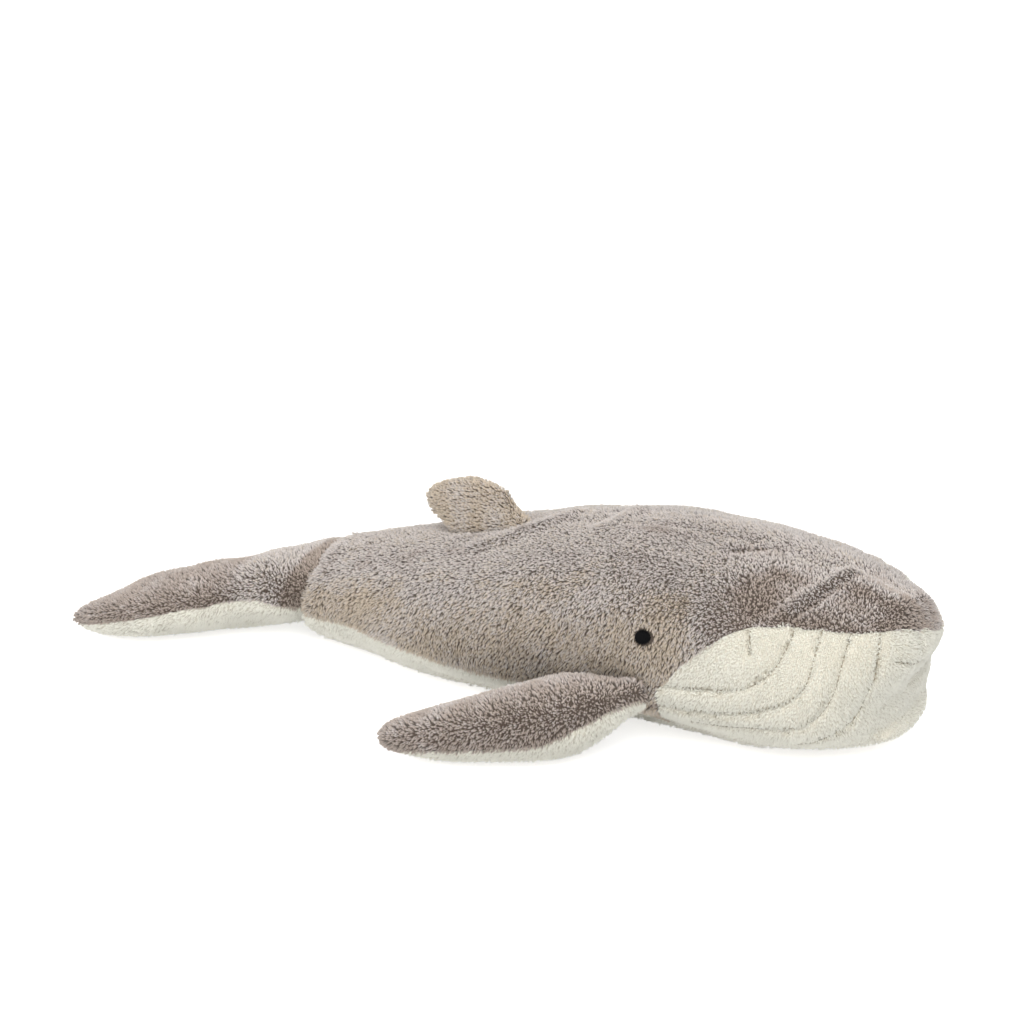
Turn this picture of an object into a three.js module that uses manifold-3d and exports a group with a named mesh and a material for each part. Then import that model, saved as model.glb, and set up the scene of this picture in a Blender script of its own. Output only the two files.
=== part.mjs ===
// A stuffed plush whale, lying on its belly: a taupe back of two panels, a cream belly and grooved throat,
// two leaf-shaped flippers, a small dorsal fin and a broad tail fluke, each sewn from its own panels over
// its own filling. Sizes are in millimetres, +X is the way the head points, +Y is the whale's left, +Z is up.

import * as THREE from "three";
import { mergeVertices } from "three/addons/utils/BufferGeometryUtils.js";
import Module from "manifold-3d";

const wasm = await Module();
wasm.setup();

// Plush and seams
const plushDepth = 7;          // backing and pile of one panel
const seamGap = 0.3;           // between two panels, and between a panel and the filling
const hingeGap = 0.4;          // round a limb's root in the hollow that it turns in
const floorFlat = 0.5;         // how far the resting undersides are pressed flat
const cutterReach = 400;       // how far a cutting block runs past what it cuts

// Body
const bodyLength = 405;        // nose to the rim that the fluke is sewn to
const bodyHalfWidth = 96;
const bodyHeight = 112;
const noseHeight = 60;         // middle of the blunt nose above the floor
const noseX = 300;             // nose in the drawing, before the origin is set under the middle

const bodyShares = {
  along: [0, 0.065, 0.13, 0.215, 0.375, 0.54, 0.7, 0.86, 1],
  width: [0.9, 0.92, 0.94, 0.985, 1, 0.985, 0.925, 0.73, 0.505],
  top: [0.85, 0.855, 0.895, 0.965, 1, 0.935, 0.795, 0.645, 0.52],
  bottom: [0.055, 0.045, 0.008, 0, 0, 0, 0, 0.018, 0.035],
};
const noseRoundShares = { width: 0.125, top: 0.045, bottom: 0.07 };   // length over which the nose rounds off
const noseBluntness = { width: 2.05, top: 2.6, bottom: 2.7 };         // 2 is a true quarter of an ellipse
const widestShare = 0.42;      // height of the widest line in each section
const sectionPower = { top: 2.1, bottom: 2.5 };
const bodyRings = 22;
const bodySides = 32;
const ringCrowding = 1.6;      // rings stand closer together towards the nose
const innerDetailShare = 0.6;  // how many rings and sides the hidden faces have
const pastEndShare = 1.1;      // the hollow runs out through the rim

// Seams of the body, seen from the side: along the body and up its height
const jawSeamShares = [
  [-0.04, 0.69], [0.004, 0.712], [0.025, 0.752], [0.1, 0.774], [0.185, 0.79], [0.222, 0.784],
  [0.255, 0.722], [0.298, 0.585], [0.318, 0.494], [0.341, 0.392], [0.352, 0.34],
];
const throatRearShare = 0.341;
const bellySeamShares = [
  [0.3, 0.085], [0.345, 0.107], [0.395, 0.16], [0.456, 0.222], [0.558, 0.253], [0.68, 0.248],
  [0.79, 0.26], [0.925, 0.247], [0.97, 0.222], [1.05, 0.2],
];
const seamSteps = 20;

// Throat furrows: along the body, and round its section from the top to the underside
const furrowRadius = 2.1;
const furrowShares = [
  [[0.212, 0.27], [0.208, 0.3], [0.2, 0.33]],
  [[0.155, 0.2], [0.155, 0.278], [0.162, 0.345], [0.177, 0.4], [0.206, 0.452], [0.25, 0.478], [0.35, 0.505]],
  [[0.118, 0.19], [0.113, 0.294], [0.116, 0.394], [0.139, 0.461], [0.175, 0.508], [0.24, 0.56], [0.35, 0.6]],
  [[0.075, 0.19], [0.07, 0.311], [0.072, 0.422], [0.09, 0.505], [0.144, 0.575], [0.24, 0.64], [0.35, 0.68]],
  [[0.0345, 0.19], [0.028, 0.339], [0.03, 0.439], [0.05, 0.575], [0.12, 0.68], [0.22, 0.75], [0.35, 0.79]],
];
const chinFurrowShares = [[0.03, 0], [0.004, 0], [0.0015, 1], [0.03, 1]];
const furrowSteps = 8;
const furrowSides = 6;

// Eyes
const eyeRadius = 5;
const eyeDome = 1.4;
const eyePocketDepth = 1.2;
const eyeShares = [0.363, 0.36];       // along the body, round its section
const eyeSides = 16;
const eyeDomeSteps = 4;
const eyeProbeShare = 0.01;            // how far off the eye its slope is measured

// Flippers
const flipperSetback = 151;            // hinge behind the nose
const flipperRootY = 93;
const flipperRootHeight = 38;
const flipperLength = 138;
const flipperReach = 65;
const flipperHalfChord = 29;
const flipperHalfThickness = 26;
const flipperRootRadius = 12;
const flipperRootHalfHeight = 14;
const flipperPitch = THREE.MathUtils.degToRad(-13);
const flipperSwing = THREE.MathUtils.degToRad(65);
const flipperLineShares = [
  [0, 0, 1], [0.1, 0.12, 0.88], [0.2, 0.24, 0.78], [0.36, 0.46, 0.685], [0.52, 0.67, 0.625],
  [0.75, 0.86, 0.46], [0.9, 0.95, 0.33], [1, 1, 0.26],
];
const flipperShares = {
  along: [0, 0.1, 0.2, 0.35, 0.5, 0.65, 0.8, 0.92, 0.975, 1],
  chord: [0.4, 0.6, 0.8, 1, 0.98, 0.88, 0.72, 0.5, 0.3, 0],
  thickness: [0.5, 0.72, 0.88, 1, 0.92, 0.76, 0.58, 0.4, 0.25, 0],
};
const flipperRings = 14;
const limbSides = 14;
const limbPower = 2.25;                // sections of flippers and fluke, 2 is a true oval
const thinEndShare = 0.3;              // a filling stops where it is thinner than this share of the plush

// Fluke
const flukeHingeRadius = 19;
const flukeHingeHalfLength = 38;
const flukeRootPower = 2.6;            // how square the ends of its rounded root are
const flukeLipShare = 0.6;             // hinge centre behind the body's rim, of the hinge radius
const flukeHalfSpan = 137;
const flukeHalfChord = 32;
const flukeHalfThickness = 25;
const flukeSweep = 72;                 // tips behind the middle
const flukeRootHeight = 26;
const flukeYaw = THREE.MathUtils.degToRad(31);     // the soft tail lies turned to the whale's left
const flukeFarShare = 0.62;            // the lobe on that side is pressed flatter and lower
const flukePressShares = [-0.25, 0.4]; // where along the span that sets in and is full
const flukePitch = THREE.MathUtils.degToRad(19);
const flukeRise = THREE.MathUtils.degToRad(30);
const flukeDrop = THREE.MathUtils.degToRad(-20);
const flukeShares = {
  out: [0, 0.18, 0.3, 0.41, 0.52, 0.69, 0.82, 0.92, 0.975, 1],
  back: [0.03, 0.04, 0.08, 0.19, 0.3, 0.48, 0.63, 0.79, 0.92, 1],
  chord: [0.82, 0.88, 0.94, 0.97, 0.97, 0.87, 0.7, 0.46, 0.24, 0],
  thickness: [0.92, 0.94, 0.96, 0.96, 0.92, 0.77, 0.58, 0.42, 0.28, 0],
  height: [1, 1, 1, 0.985, 0.93, 0.78, 0.6, 0.45, 0.37, 0.33],
};
const flukeRings = 20;
const tailWallShare = 0.75;            // the stretch of the body's tail that the fluke is cut clear of
const tailWallSteps = 4;
const tipCrowding = 1.25;              // rings stand closer together towards the tips

// Dorsal fin
const finSetback = 294;                // middle of its base behind the nose
const finHalfLength = 26;
const finHeight = 30;                  // above the hinge line
const finHalfThickness = 7.5;
const finRootRadius = 8;
const finRootPower = 4;
const finRootHeight = 3;               // hinge line above the back
const finFold = THREE.MathUtils.degToRad(45);
const finShares = {
  up: [-0.2, 0, 0.25, 0.5, 0.7, 0.85, 0.95, 1],
  front: [1, 1, 1, 0.93, 0.72, 0.42, 0.1, -0.2],
  rear: [-0.9, -1, -1.18, -1.3, -1.3, -1.1, -0.75, -0.2],
  thickness: [1, 1, 0.98, 0.92, 0.82, 0.66, 0.42, 0],
};
const finRings = 10;
const rootSteps = 8;

// Materials
const taupePlush = new THREE.MeshStandardMaterial({ color: 0x9d9088, roughness: 0.95, metalness: 0 });
const darkTaupePlush = new THREE.MeshStandardMaterial({ color: 0x8c7f78, roughness: 0.95, metalness: 0 });
const creamPlush = new THREE.MeshStandardMaterial({ color: 0xe6e0d2, roughness: 0.95, metalness: 0 });
const fibreFilling = new THREE.MeshStandardMaterial({ color: 0xf2f1ec, roughness: 1, metalness: 0 });
const blackThread = new THREE.MeshStandardMaterial({ color: 0x15151a, roughness: 0.6, metalness: 0 });

// A smooth line through a table that never swings past its neighbours
function through(stations, values, at) {
  const last = stations.length - 1;
  if (at <= stations[0]) return values[0];
  if (at >= stations[last]) return values[last];
  const slope = (i) => (values[i + 1] - values[i]) / (stations[i + 1] - stations[i]);
  const tangent = (i) => {
    if (i === 0) return slope(0);
    if (i === last) return slope(last - 1);
    const before = slope(i - 1);
    const after = slope(i);
    return before * after <= 0 ? 0 : (2 * before * after) / (before + after);
  };
  let i = 0;
  while (at > stations[i + 1]) i += 1;
  const width = stations[i + 1] - stations[i];
  const t = (at - stations[i]) / width;
  const rise = values[i + 1] - values[i];
  const t0 = tangent(i) * width;
  const t1 = tangent(i + 1) * width;
  return values[i] + t * t0 + t * t * (3 * rise - 2 * t0 - t1) + t * t * t * (t0 + t1 - 2 * rise);
}

// How far a rounded end has filled out, from 0 at its tip to 1
function roundOff(share, bluntness) {
  return share >= 1 ? 1 : (1 - (1 - Math.max(share, 0)) ** bluntness) ** (1 / bluntness);
}

function signedPower(value, power) {
  return Math.sign(value) * Math.abs(value) ** power;
}

// Closed mesh over rings of points, each end closed round one point
function loft(rings, startPole, endPole) {
  const sides = rings[0].length;
  const points = [startPole, ...rings.flat(), endPole];
  const end = points.length - 1;
  const index = [];
  for (let k = 0; k < sides; k += 1) {
    const next = (k + 1) % sides;
    index.push(0, 1 + next, 1 + k);
    for (let r = 0; r < rings.length - 1; r += 1) {
      const a = 1 + r * sides;
      const b = a + sides;
      index.push(a + k, a + next, b + next, a + k, b + next, b + k);
    }
    const tail = 1 + (rings.length - 1) * sides;
    index.push(end, tail + k, tail + next);
  }
  const geometry = new THREE.BufferGeometry().setFromPoints(points);
  geometry.setIndex(index);
  return toSolid(geometry);
}

function middleOf(ring) {
  const sum = ring.reduce((total, point) => total.add(point), new THREE.Vector3());
  return sum.divideScalar(ring.length);
}

function signedVolume(positions, index) {
  const corner = (i) => new THREE.Vector3().fromBufferAttribute(positions, index[i]);
  let volume = 0;
  for (let i = 0; i < index.length; i += 3) volume += corner(i).dot(corner(i + 1).cross(corner(i + 2)));
  return volume;
}

function toSolid(geometry) {
  const bare = geometry.clone();
  bare.deleteAttribute("normal");
  bare.deleteAttribute("uv");
  const merged = mergeVertices(bare);
  const triVerts = Uint32Array.from(merged.index.array);
  if (signedVolume(merged.attributes.position, triVerts) < 0) triVerts.reverse();
  const vertProperties = Float32Array.from(merged.attributes.position.array);
  return new wasm.Manifold(new wasm.Mesh({ numProp: 3, vertProperties, triVerts }));
}

function toGeometry(solid) {
  const mesh = solid.getMesh();
  const geometry = new THREE.BufferGeometry();
  geometry.setAttribute("position", new THREE.BufferAttribute(new Float32Array(mesh.vertProperties), 3));
  geometry.setIndex(new THREE.BufferAttribute(new Uint32Array(mesh.triVerts), 1));
  return geometry;
}

// Hidden faces get fewer rings and sides, an even number of them
function detailOf(count, inset) {
  return inset > 0 ? 2 * Math.round((count * innerDetailShare) / 2) : count;
}

// Body: one section at a share of its length, with all its walls moved in by the inset
function bodySection(share, inset) {
  const at = (key) => through(bodyShares.along, bodyShares[key], share);
  const filled = (key) => roundOff(share / noseRoundShares[key], noseBluntness[key]);
  const top = noseHeight + (at("top") * bodyHeight - inset - noseHeight) * filled("top");
  const low = at("bottom") * bodyHeight - floorFlat + inset;
  const bottom = noseHeight - (noseHeight - low) * filled("bottom");
  const halfWidth = (at("width") * bodyHalfWidth - inset) * filled("width");
  return { x: noseX - inset - share * (bodyLength - inset), top, bottom, halfWidth };
}

function bodyPoint(share, round, side, inset = 0) {
  const section = bodySection(share, inset);
  const angle = round * Math.PI;
  const middle = section.bottom + (section.top - section.bottom) * widestShare;
  const upper = Math.cos(angle) > 0;
  const power = 2 / (upper ? sectionPower.top : sectionPower.bottom);
  const height = upper ? section.top - middle : middle - section.bottom;
  const z = middle + height * signedPower(Math.cos(angle), power);
  const y = side * section.halfWidth * Math.abs(Math.sin(angle)) ** power;
  return new THREE.Vector3(section.x, y, z);
}

function bodySolid(inset, endShare) {
  const rings = [];
  const ringCount = detailOf(bodyRings, inset);
  const sides = detailOf(bodySides, inset);
  for (let r = 1; r <= ringCount; r += 1) {
    const share = endShare * (r / ringCount) ** ringCrowding;
    const ring = [];
    for (let k = 0; k < sides; k += 1) {
      const round = (2 * k) / sides;
      ring.push(round <= 1 ? bodyPoint(share, round, -1, inset) : bodyPoint(share, 2 - round, 1, inset));
    }
    rings.push(ring);
  }
  return loft(rings, bodyPoint(0, 0, 1, inset), middleOf(rings[rings.length - 1]));
}

// A flat outline in the side view, run right across the body
function sideBlock(outline) {
  const shape = new THREE.Shape(outline);
  const block = new THREE.ExtrudeGeometry(shape, { depth: cutterReach, bevelEnabled: false });
  block.rotateX(Math.PI / 2);
  block.translate(0, cutterReach / 2, 0);
  return toSolid(block);
}

function boxSolid(low, high) {
  const size = high.clone().sub(low);
  const box = new THREE.BoxGeometry(size.x, size.y, size.z);
  box.translate(low.x + size.x / 2, low.y + size.y / 2, low.z + size.z / 2);
  return toSolid(box);
}

function seamLine(shares, aside) {
  const curve = new THREE.SplineCurve(shares.map(([along, up]) =>
    new THREE.Vector2(noseX - along * bodyLength, up * bodyHeight)));
  const points = curve.getPoints(seamSteps);
  return points.map((point, i) => {
    const before = points[Math.max(i - 1, 0)];
    const after = points[Math.min(i + 1, points.length - 1)];
    const run = after.clone().sub(before).normalize();
    return new THREE.Vector2(point.x + run.y * aside, point.y - run.x * aside);
  });
}

// What lies below a seam, in front of or behind the throat panel's rear edge
function belowSeam(shares, aside, isFront) {
  const rear = noseX - throatRearShare * bodyLength + (isFront ? -aside : aside);
  const line = seamLine(shares, aside);
  const next = line.findIndex((point) => point.x <= rear);
  const run = line[next - 1].x - line[next].x;
  const joint = line[next - 1].clone().lerp(line[next], (line[next - 1].x - rear) / run);
  const edge = isFront ? [...line.slice(0, next), joint] : [joint, ...line.slice(next)];
  const rearFoot = new THREE.Vector2(edge[edge.length - 1].x, -cutterReach);
  return sideBlock([...edge, rearFoot, new THREE.Vector2(edge[0].x, -cutterReach)]);
}

const aboveFloor = boxSolid(
  new THREE.Vector3(-cutterReach, -cutterReach, 0),
  new THREE.Vector3(cutterReach, cutterReach, cutterReach),
);

function halfSpace(side) {
  const inner = side * (seamGap / 2);
  const outer = side * cutterReach;
  return boxSolid(
    new THREE.Vector3(-cutterReach, Math.min(inner, outer), -cutterReach),
    new THREE.Vector3(cutterReach, Math.max(inner, outer), cutterReach),
  );
}

// Throat furrows: tubes laid on the surface, which the panel is cut by
function furrow(points) {
  const path = new THREE.CatmullRomCurve3(points);
  const section = new THREE.Shape(new THREE.EllipseCurve(0, 0, furrowRadius, furrowRadius)
    .getPoints(furrowSides).slice(0, -1));
  return toSolid(new THREE.ExtrudeGeometry(section, {
    steps: furrowSteps, extrudePath: path, bevelEnabled: false,
  }));
}

function throatFurrows() {
  const cuts = [];
  for (const side of [-1, 1]) {
    for (const line of furrowShares) {
      cuts.push(furrow(line.map(([share, round]) => bodyPoint(share, round, side))));
    }
  }
  cuts.push(furrow(chinFurrowShares.map(([share, round]) => bodyPoint(share, round, 1))));
  return cuts.reduce((all, cut) => all.add(cut));
}

// Eyes: a domed disc of satin stitch, seated in a shallow pocket of the back panel
function eyeFrame(side) {
  const [share, round] = eyeShares;
  const centre = bodyPoint(share, round, side);
  const ahead = bodyPoint(share - eyeProbeShare, round, side).sub(centre);
  const down = bodyPoint(share, round + eyeProbeShare, side).sub(centre);
  const outward = ahead.cross(down).normalize().multiplyScalar(side > 0 ? -1 : 1);
  if (outward.y * side < 0) outward.negate();
  return new THREE.Matrix4().makeRotationFromQuaternion(
    new THREE.Quaternion().setFromUnitVectors(new THREE.Vector3(0, 1, 0), outward),
  ).setPosition(centre);
}

function eyeSolid(side) {
  const profile = [new THREE.Vector2(0, -eyePocketDepth), new THREE.Vector2(eyeRadius, -eyePocketDepth)];
  for (let i = 0; i <= eyeDomeSteps; i += 1) {
    const angle = (i / eyeDomeSteps) * (Math.PI / 2);
    profile.push(new THREE.Vector2(eyeRadius * Math.cos(angle), eyeDome * Math.sin(angle)));
  }
  return toSolid(new THREE.LatheGeometry(profile, eyeSides).applyMatrix4(eyeFrame(side)));
}

function eyePocket(side) {
  const radius = eyeRadius + seamGap;
  const depth = eyePocketDepth + seamGap;
  const pocket = new THREE.CylinderGeometry(radius, radius, 2 * depth + 2 * eyeDome, eyeSides);
  pocket.translate(0, eyeDome, 0);
  return toSolid(pocket.applyMatrix4(eyeFrame(side)));
}

function ballSolid(centre, radius, halfHeight) {
  const ball = new THREE.SphereGeometry(1, limbSides, limbSides / 2);
  ball.rotateX(Math.PI / 2);
  ball.scale(radius, radius, halfHeight);
  ball.translate(centre.x, centre.y, centre.z);
  return toSolid(ball);
}

// A limb's section: an oval across its run, tipped by the pitch
function ovalRing(centre, across, halfChord, halfThickness, pitch, sides) {
  const up = new THREE.Vector3(0, 0, 1);
  const chord = across.clone().multiplyScalar(Math.cos(pitch)).addScaledVector(up, Math.sin(pitch));
  const thick = up.clone().multiplyScalar(Math.cos(pitch)).addScaledVector(across, -Math.sin(pitch));
  const ring = [];
  for (let k = 0; k < sides; k += 1) {
    const angle = (2 * Math.PI * k) / sides;
    ring.push(centre.clone()
      .addScaledVector(chord, halfChord * signedPower(Math.cos(angle), 2 / limbPower))
      .addScaledVector(thick, halfThickness * signedPower(Math.sin(angle), 2 / limbPower)));
  }
  return ring;
}

// The sheet that parts a limb's upper panel from its underside, as a block that reaches far below it
function seamBlock(sections, aside, reach) {
  const rings = sections.map(({ centre, across, pitch }) => {
    const tilt = new THREE.Vector3(0, 0, 1);
    const chord = across.clone().multiplyScalar(Math.cos(pitch)).addScaledVector(tilt, Math.sin(pitch));
    const near = centre.clone().addScaledVector(chord, reach).addScaledVector(tilt, aside);
    const far = centre.clone().addScaledVector(chord, -reach).addScaledVector(tilt, aside);
    const drop = new THREE.Vector3(0, 0, -cutterReach);
    return [near, far, far.clone().add(drop), near.clone().add(drop)];
  });
  return loft(rings, middleOf(rings[0]), middleOf(rings[rings.length - 1]));
}

// Cuts a limb clear of a wall of the body, at rest and at each end of its swing.
// The wall is drawn from the hinge's middle.
function clearOf(limb, wall, hinge, angles) {
  return angles.reduce((left, angle) => {
    const block = wall.clone();
    block.applyMatrix4(new THREE.Matrix4().makeRotationAxis(hinge.axis, -angle));
    block.translate(hinge.centre.x, hinge.centre.y, hinge.centre.z);
    return left.subtract(toSolid(block));
  }, limb);
}

function flatWall(direction, gap) {
  const block = new THREE.BoxGeometry(cutterReach, 2 * cutterReach, 2 * cutterReach);
  block.translate(gap + cutterReach / 2, 0, 0);
  block.applyQuaternion(new THREE.Quaternion().setFromUnitVectors(new THREE.Vector3(1, 0, 0), direction));
  return block;
}

// A limb's rounded root: a barrel with blunt ends along its axis
function barrel(centre, axis, radius, halfLength, power) {
  const profile = [];
  for (let i = 0; i <= rootSteps; i += 1) {
    const angle = Math.PI * (i / rootSteps - 1 / 2);
    const across = i === 0 || i === rootSteps ? 0 : radius * Math.cos(angle) ** (2 / power);
    profile.push(new THREE.Vector2(across, halfLength * signedPower(Math.sin(angle), 2 / power)));
  }
  const root = new THREE.LatheGeometry(profile, limbSides);
  root.applyQuaternion(new THREE.Quaternion().setFromUnitVectors(new THREE.Vector3(0, 1, 0), axis));
  root.translate(centre.x, centre.y, centre.z);
  return toSolid(root);
}

// Splits a limb into its upper panel, its underside and its filling
function limbPieces(outer, inner, core, sections, reach) {
  const shell = outer.subtract(inner).intersect(aboveFloor);
  return {
    top: shell.subtract(seamBlock(sections, seamGap / 2, reach)),
    underside: shell.intersect(seamBlock(sections, -seamGap / 2, reach)),
    filling: core.intersect(aboveFloor),
  };
}

// Flippers
const flipperHingeX = noseX - flipperSetback;

function flipperCentre(side) {
  return new THREE.Vector3(flipperHingeX, side * flipperRootY, flipperRootHeight);
}

function flipperSections(side, steps, overrun) {
  const line = new THREE.CatmullRomCurve3(flipperLineShares.map(([along, out, up]) => new THREE.Vector3(
    flipperHingeX - along * flipperLength, side * (flipperRootY + out * flipperReach), up * flipperRootHeight,
  )));
  const sections = [];
  for (let i = 0; i <= steps; i += 1) {
    const share = i / steps;
    const centre = line.getPoint(share);
    const run = line.getTangent(share).setZ(0).normalize();
    const across = new THREE.Vector3(-run.y, run.x, 0).multiplyScalar(-1);
    const pitch = side > 0 ? -flipperPitch : flipperPitch;
    if (overrun && i === 0) centre.addScaledVector(run, -overrun);
    if (overrun && i === steps) centre.addScaledVector(run, overrun);
    sections.push({ share, centre, across, pitch });
  }
  return sections;
}

function flipperLoft(side, inset) {
  const size = (key, full, share) => Math.max(
    through(flipperShares.along, flipperShares[key], share) * full - inset, seamGap,
  );
  const sides = detailOf(limbSides, inset);
  const sections = flipperSections(side, flipperRings, 0)
    .filter(({ share }) => size("thickness", flipperHalfThickness, share) >= inset * thinEndShare);
  const rings = sections.slice(0, -1).map(({ share, centre, across, pitch }) => ovalRing(
    centre, across, size("chord", flipperHalfChord, share),
    size("thickness", flipperHalfThickness, share), pitch, sides,
  ));
  return loft(rings, middleOf(rings[0]), sections[sections.length - 1].centre);
}

function flipperPieces(side) {
  const hinge = { centre: flipperCentre(side), axis: new THREE.Vector3(0, 0, 1) };
  const gap = flipperRootY - bodyHalfWidth - hingeGap;
  const wall = (inset) => flatWall(new THREE.Vector3(0, -side, 0), gap - inset);
  const leaf = (inset) => clearOf(flipperLoft(side, inset), wall(inset), hinge, [0, -side * flipperSwing]);
  const root = ballSolid(hinge.centre, flipperRootRadius, flipperRootHalfHeight);
  return limbPieces(
    leaf(0).add(root), leaf(plushDepth), leaf(plushDepth + seamGap),
    flipperSections(side, flipperRings, flipperHalfChord), flipperHalfChord + plushDepth,
  );
}

// Fluke
const rim = bodySection(1, 0);
const flukeHinge = new THREE.Vector3(rim.x - flukeLipShare * flukeHingeRadius, 0, (rim.top + rim.bottom) / 2);

function flukeSections(steps, overrun) {
  const back = new THREE.Vector3(-Math.cos(flukeYaw), Math.sin(flukeYaw), 0);
  const out = new THREE.Vector3(-Math.sin(flukeYaw), -Math.cos(flukeYaw), 0);
  const sections = [];
  for (let i = 0; i <= steps; i += 1) {
    const way = (2 * i) / steps - 1;
    const share = Math.sign(way) * roundOff(Math.abs(way), tipCrowding);
    const at = (key) => through(flukeShares.out, flukeShares[key], Math.abs(share));
    const pressed = 1 - (1 - flukeFarShare) * THREE.MathUtils.smoothstep(-share, ...flukePressShares);
    const past = Math.abs(way) === 1 ? Math.sign(way) * overrun : 0;
    const centre = flukeHinge.clone().setZ(at("height") * flukeRootHeight * pressed)
      .addScaledVector(out, share * flukeHalfSpan + past)
      .addScaledVector(back, at("back") * flukeSweep);
    sections.push({
      centre, across: back, pitch: -flukePitch * pressed * pressed,
      halfChord: at("chord") * flukeHalfChord, halfThickness: at("thickness") * flukeHalfThickness * pressed,
    });
  }
  return sections;
}

function flukeLoft(inset) {
  const sides = detailOf(limbSides, inset);
  const sections = flukeSections(flukeRings, 0)
    .filter(({ halfThickness }) => halfThickness - inset >= inset * thinEndShare);
  const rings = sections.slice(1, -1).map(({ centre, across, pitch, halfChord, halfThickness }) => ovalRing(
    centre, across, halfChord - inset, halfThickness - inset, pitch, sides,
  ));
  return loft(rings, sections[0].centre, sections[sections.length - 1].centre);
}

function flukeRoot(inset) {
  return barrel(
    flukeHinge, new THREE.Vector3(0, 1, 0), flukeHingeRadius - inset, flukeHingeHalfLength - inset,
    flukeRootPower,
  );
}

// The tail end of the body seen from above, as an upright block drawn from the fluke's hinge
function tailWall(gap) {
  const edge = [];
  for (let i = 0; i <= tailWallSteps; i += 1) {
    const section = bodySection(tailWallShare + ((1 - tailWallShare) * i) / tailWallSteps, 0);
    edge.push(new THREE.Vector2(section.x - flukeHinge.x - gap, section.halfWidth + gap));
  }
  const otherEdge = edge.map((point) => new THREE.Vector2(point.x, -point.y)).reverse();
  const block = new THREE.ExtrudeGeometry(new THREE.Shape([...edge, ...otherEdge]), {
    depth: 2 * cutterReach, bevelEnabled: false,
  });
  return block.translate(0, 0, -cutterReach);
}

function flukePieces() {
  const hinge = { centre: flukeHinge, axis: new THREE.Vector3(0, 1, 0) };
  const angles = [flukeDrop, 0, flukeRise];
  const build = (inset) => clearOf(flukeLoft(inset), tailWall(hingeGap + inset), hinge, angles)
    .add(flukeRoot(inset));
  return limbPieces(
    build(0), build(plushDepth), build(plushDepth + seamGap),
    flukeSections(flukeRings, plushDepth), flukeHalfChord + flukeHingeRadius,
  );
}

// Dorsal fin: two panels back to back on a rounded root that lies in a groove of the back
function backLine(setback) {
  return bodyPoint(setback / bodyLength, 0, 1);
}

const finFront = backLine(finSetback - finHalfLength);
const finRear = backLine(finSetback + finHalfLength);
const finAlong = finFront.clone().sub(finRear).normalize();
const finUp = new THREE.Vector3(-finAlong.z, 0, finAlong.x);
const finCentre = finFront.clone().add(finRear).divideScalar(2).addScaledVector(finUp, finRootHeight);

function finRoot(extra) {
  return barrel(finCentre, finAlong, finRootRadius + extra, finHalfLength + extra, finRootPower);
}

function finLoft() {
  const lowest = finShares.up[0];
  const at = (key, up) => through(finShares.up, finShares[key], up);
  const rings = [];
  for (let r = 0; r < finRings; r += 1) {
    const up = lowest + (1 - lowest) * roundOff(r / finRings, tipCrowding);
    const halfChord = ((at("front", up) - at("rear", up)) / 2) * finHalfLength;
    const along = ((at("front", up) + at("rear", up)) / 2) * finHalfLength;
    const ring = [];
    for (let k = 0; k < limbSides; k += 1) {
      const angle = (2 * Math.PI * k) / limbSides;
      const side = at("thickness", up) * finHalfThickness * Math.sin(angle);
      const point = finCentre.clone()
        .addScaledVector(finAlong, along + halfChord * Math.cos(angle))
        .addScaledVector(finUp, up * finHeight);
      ring.push(point.setY(side));
    }
    rings.push(ring);
  }
  const tipAlong = ((at("front", 1) + at("rear", 1)) / 2) * finHalfLength;
  const tip = finCentre.clone().addScaledVector(finAlong, tipAlong).addScaledVector(finUp, finHeight);
  return loft(rings, middleOf(rings[0]), tip);
}

function finPieces() {
  const hinge = { centre: finCentre, axis: finAlong };
  const wall = flatWall(finUp.clone().negate(), finRootHeight - 2 * hingeGap);
  const fin = clearOf(finLoft(), wall, hinge, [-finFold, 0, finFold]).add(finRoot(0));
  return { right: fin.intersect(halfSpace(-1)), left: fin.intersect(halfSpace(1)) };
}

// Everything together
const whale = new THREE.Group();

function addPiece(name, solid, material) {
  const mesh = new THREE.Mesh(toGeometry(solid), material);
  mesh.name = name;
  whale.add(mesh);
}

const bodyShell = bodySolid(0, 1).subtract(bodySolid(plushDepth, pastEndShare));
const flipperSockets = [-1, 1]
  .map((side) => ballSolid(
    flipperCentre(side), flipperRootRadius + hingeGap, flipperRootHalfHeight + hingeGap,
  ))
  .reduce((all, socket) => all.add(socket));
const flukeSocket = flukeRoot(-hingeGap);
const hollows = flipperSockets.add(flukeSocket).add(finRoot(hingeGap));

function addBody() {
  const backs = bodyShell
    .subtract(belowSeam(jawSeamShares, seamGap / 2, true))
    .subtract(belowSeam(bellySeamShares, seamGap / 2, false))
    .subtract(hollows)
    .intersect(aboveFloor);
  addPiece("back_panel_right", backs.intersect(halfSpace(-1)).subtract(eyePocket(-1)), taupePlush);
  addPiece("back_panel_left", backs.intersect(halfSpace(1)).subtract(eyePocket(1)), taupePlush);
  const throat = bodyShell.intersect(belowSeam(jawSeamShares, -seamGap / 2, true)).intersect(aboveFloor);
  addPiece("throat_panel", throat.subtract(throatFurrows()), creamPlush);
  const belly = bodyShell.intersect(belowSeam(bellySeamShares, -seamGap / 2, false)).intersect(aboveFloor);
  addPiece("belly_panel", belly.subtract(hollows), creamPlush);
  const fillingEnd = flukeHinge.x + flukeHingeRadius + seamGap;
  const filling = bodySolid(plushDepth + seamGap, pastEndShare).intersect(boxSolid(
    new THREE.Vector3(fillingEnd, -cutterReach, 0),
    new THREE.Vector3(cutterReach, cutterReach, cutterReach),
  ));
  addPiece("body_filling", filling.subtract(flipperSockets), fibreFilling);
  addPiece("eye_right", eyeSolid(-1), blackThread);
  addPiece("eye_left", eyeSolid(1), blackThread);
}

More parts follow.
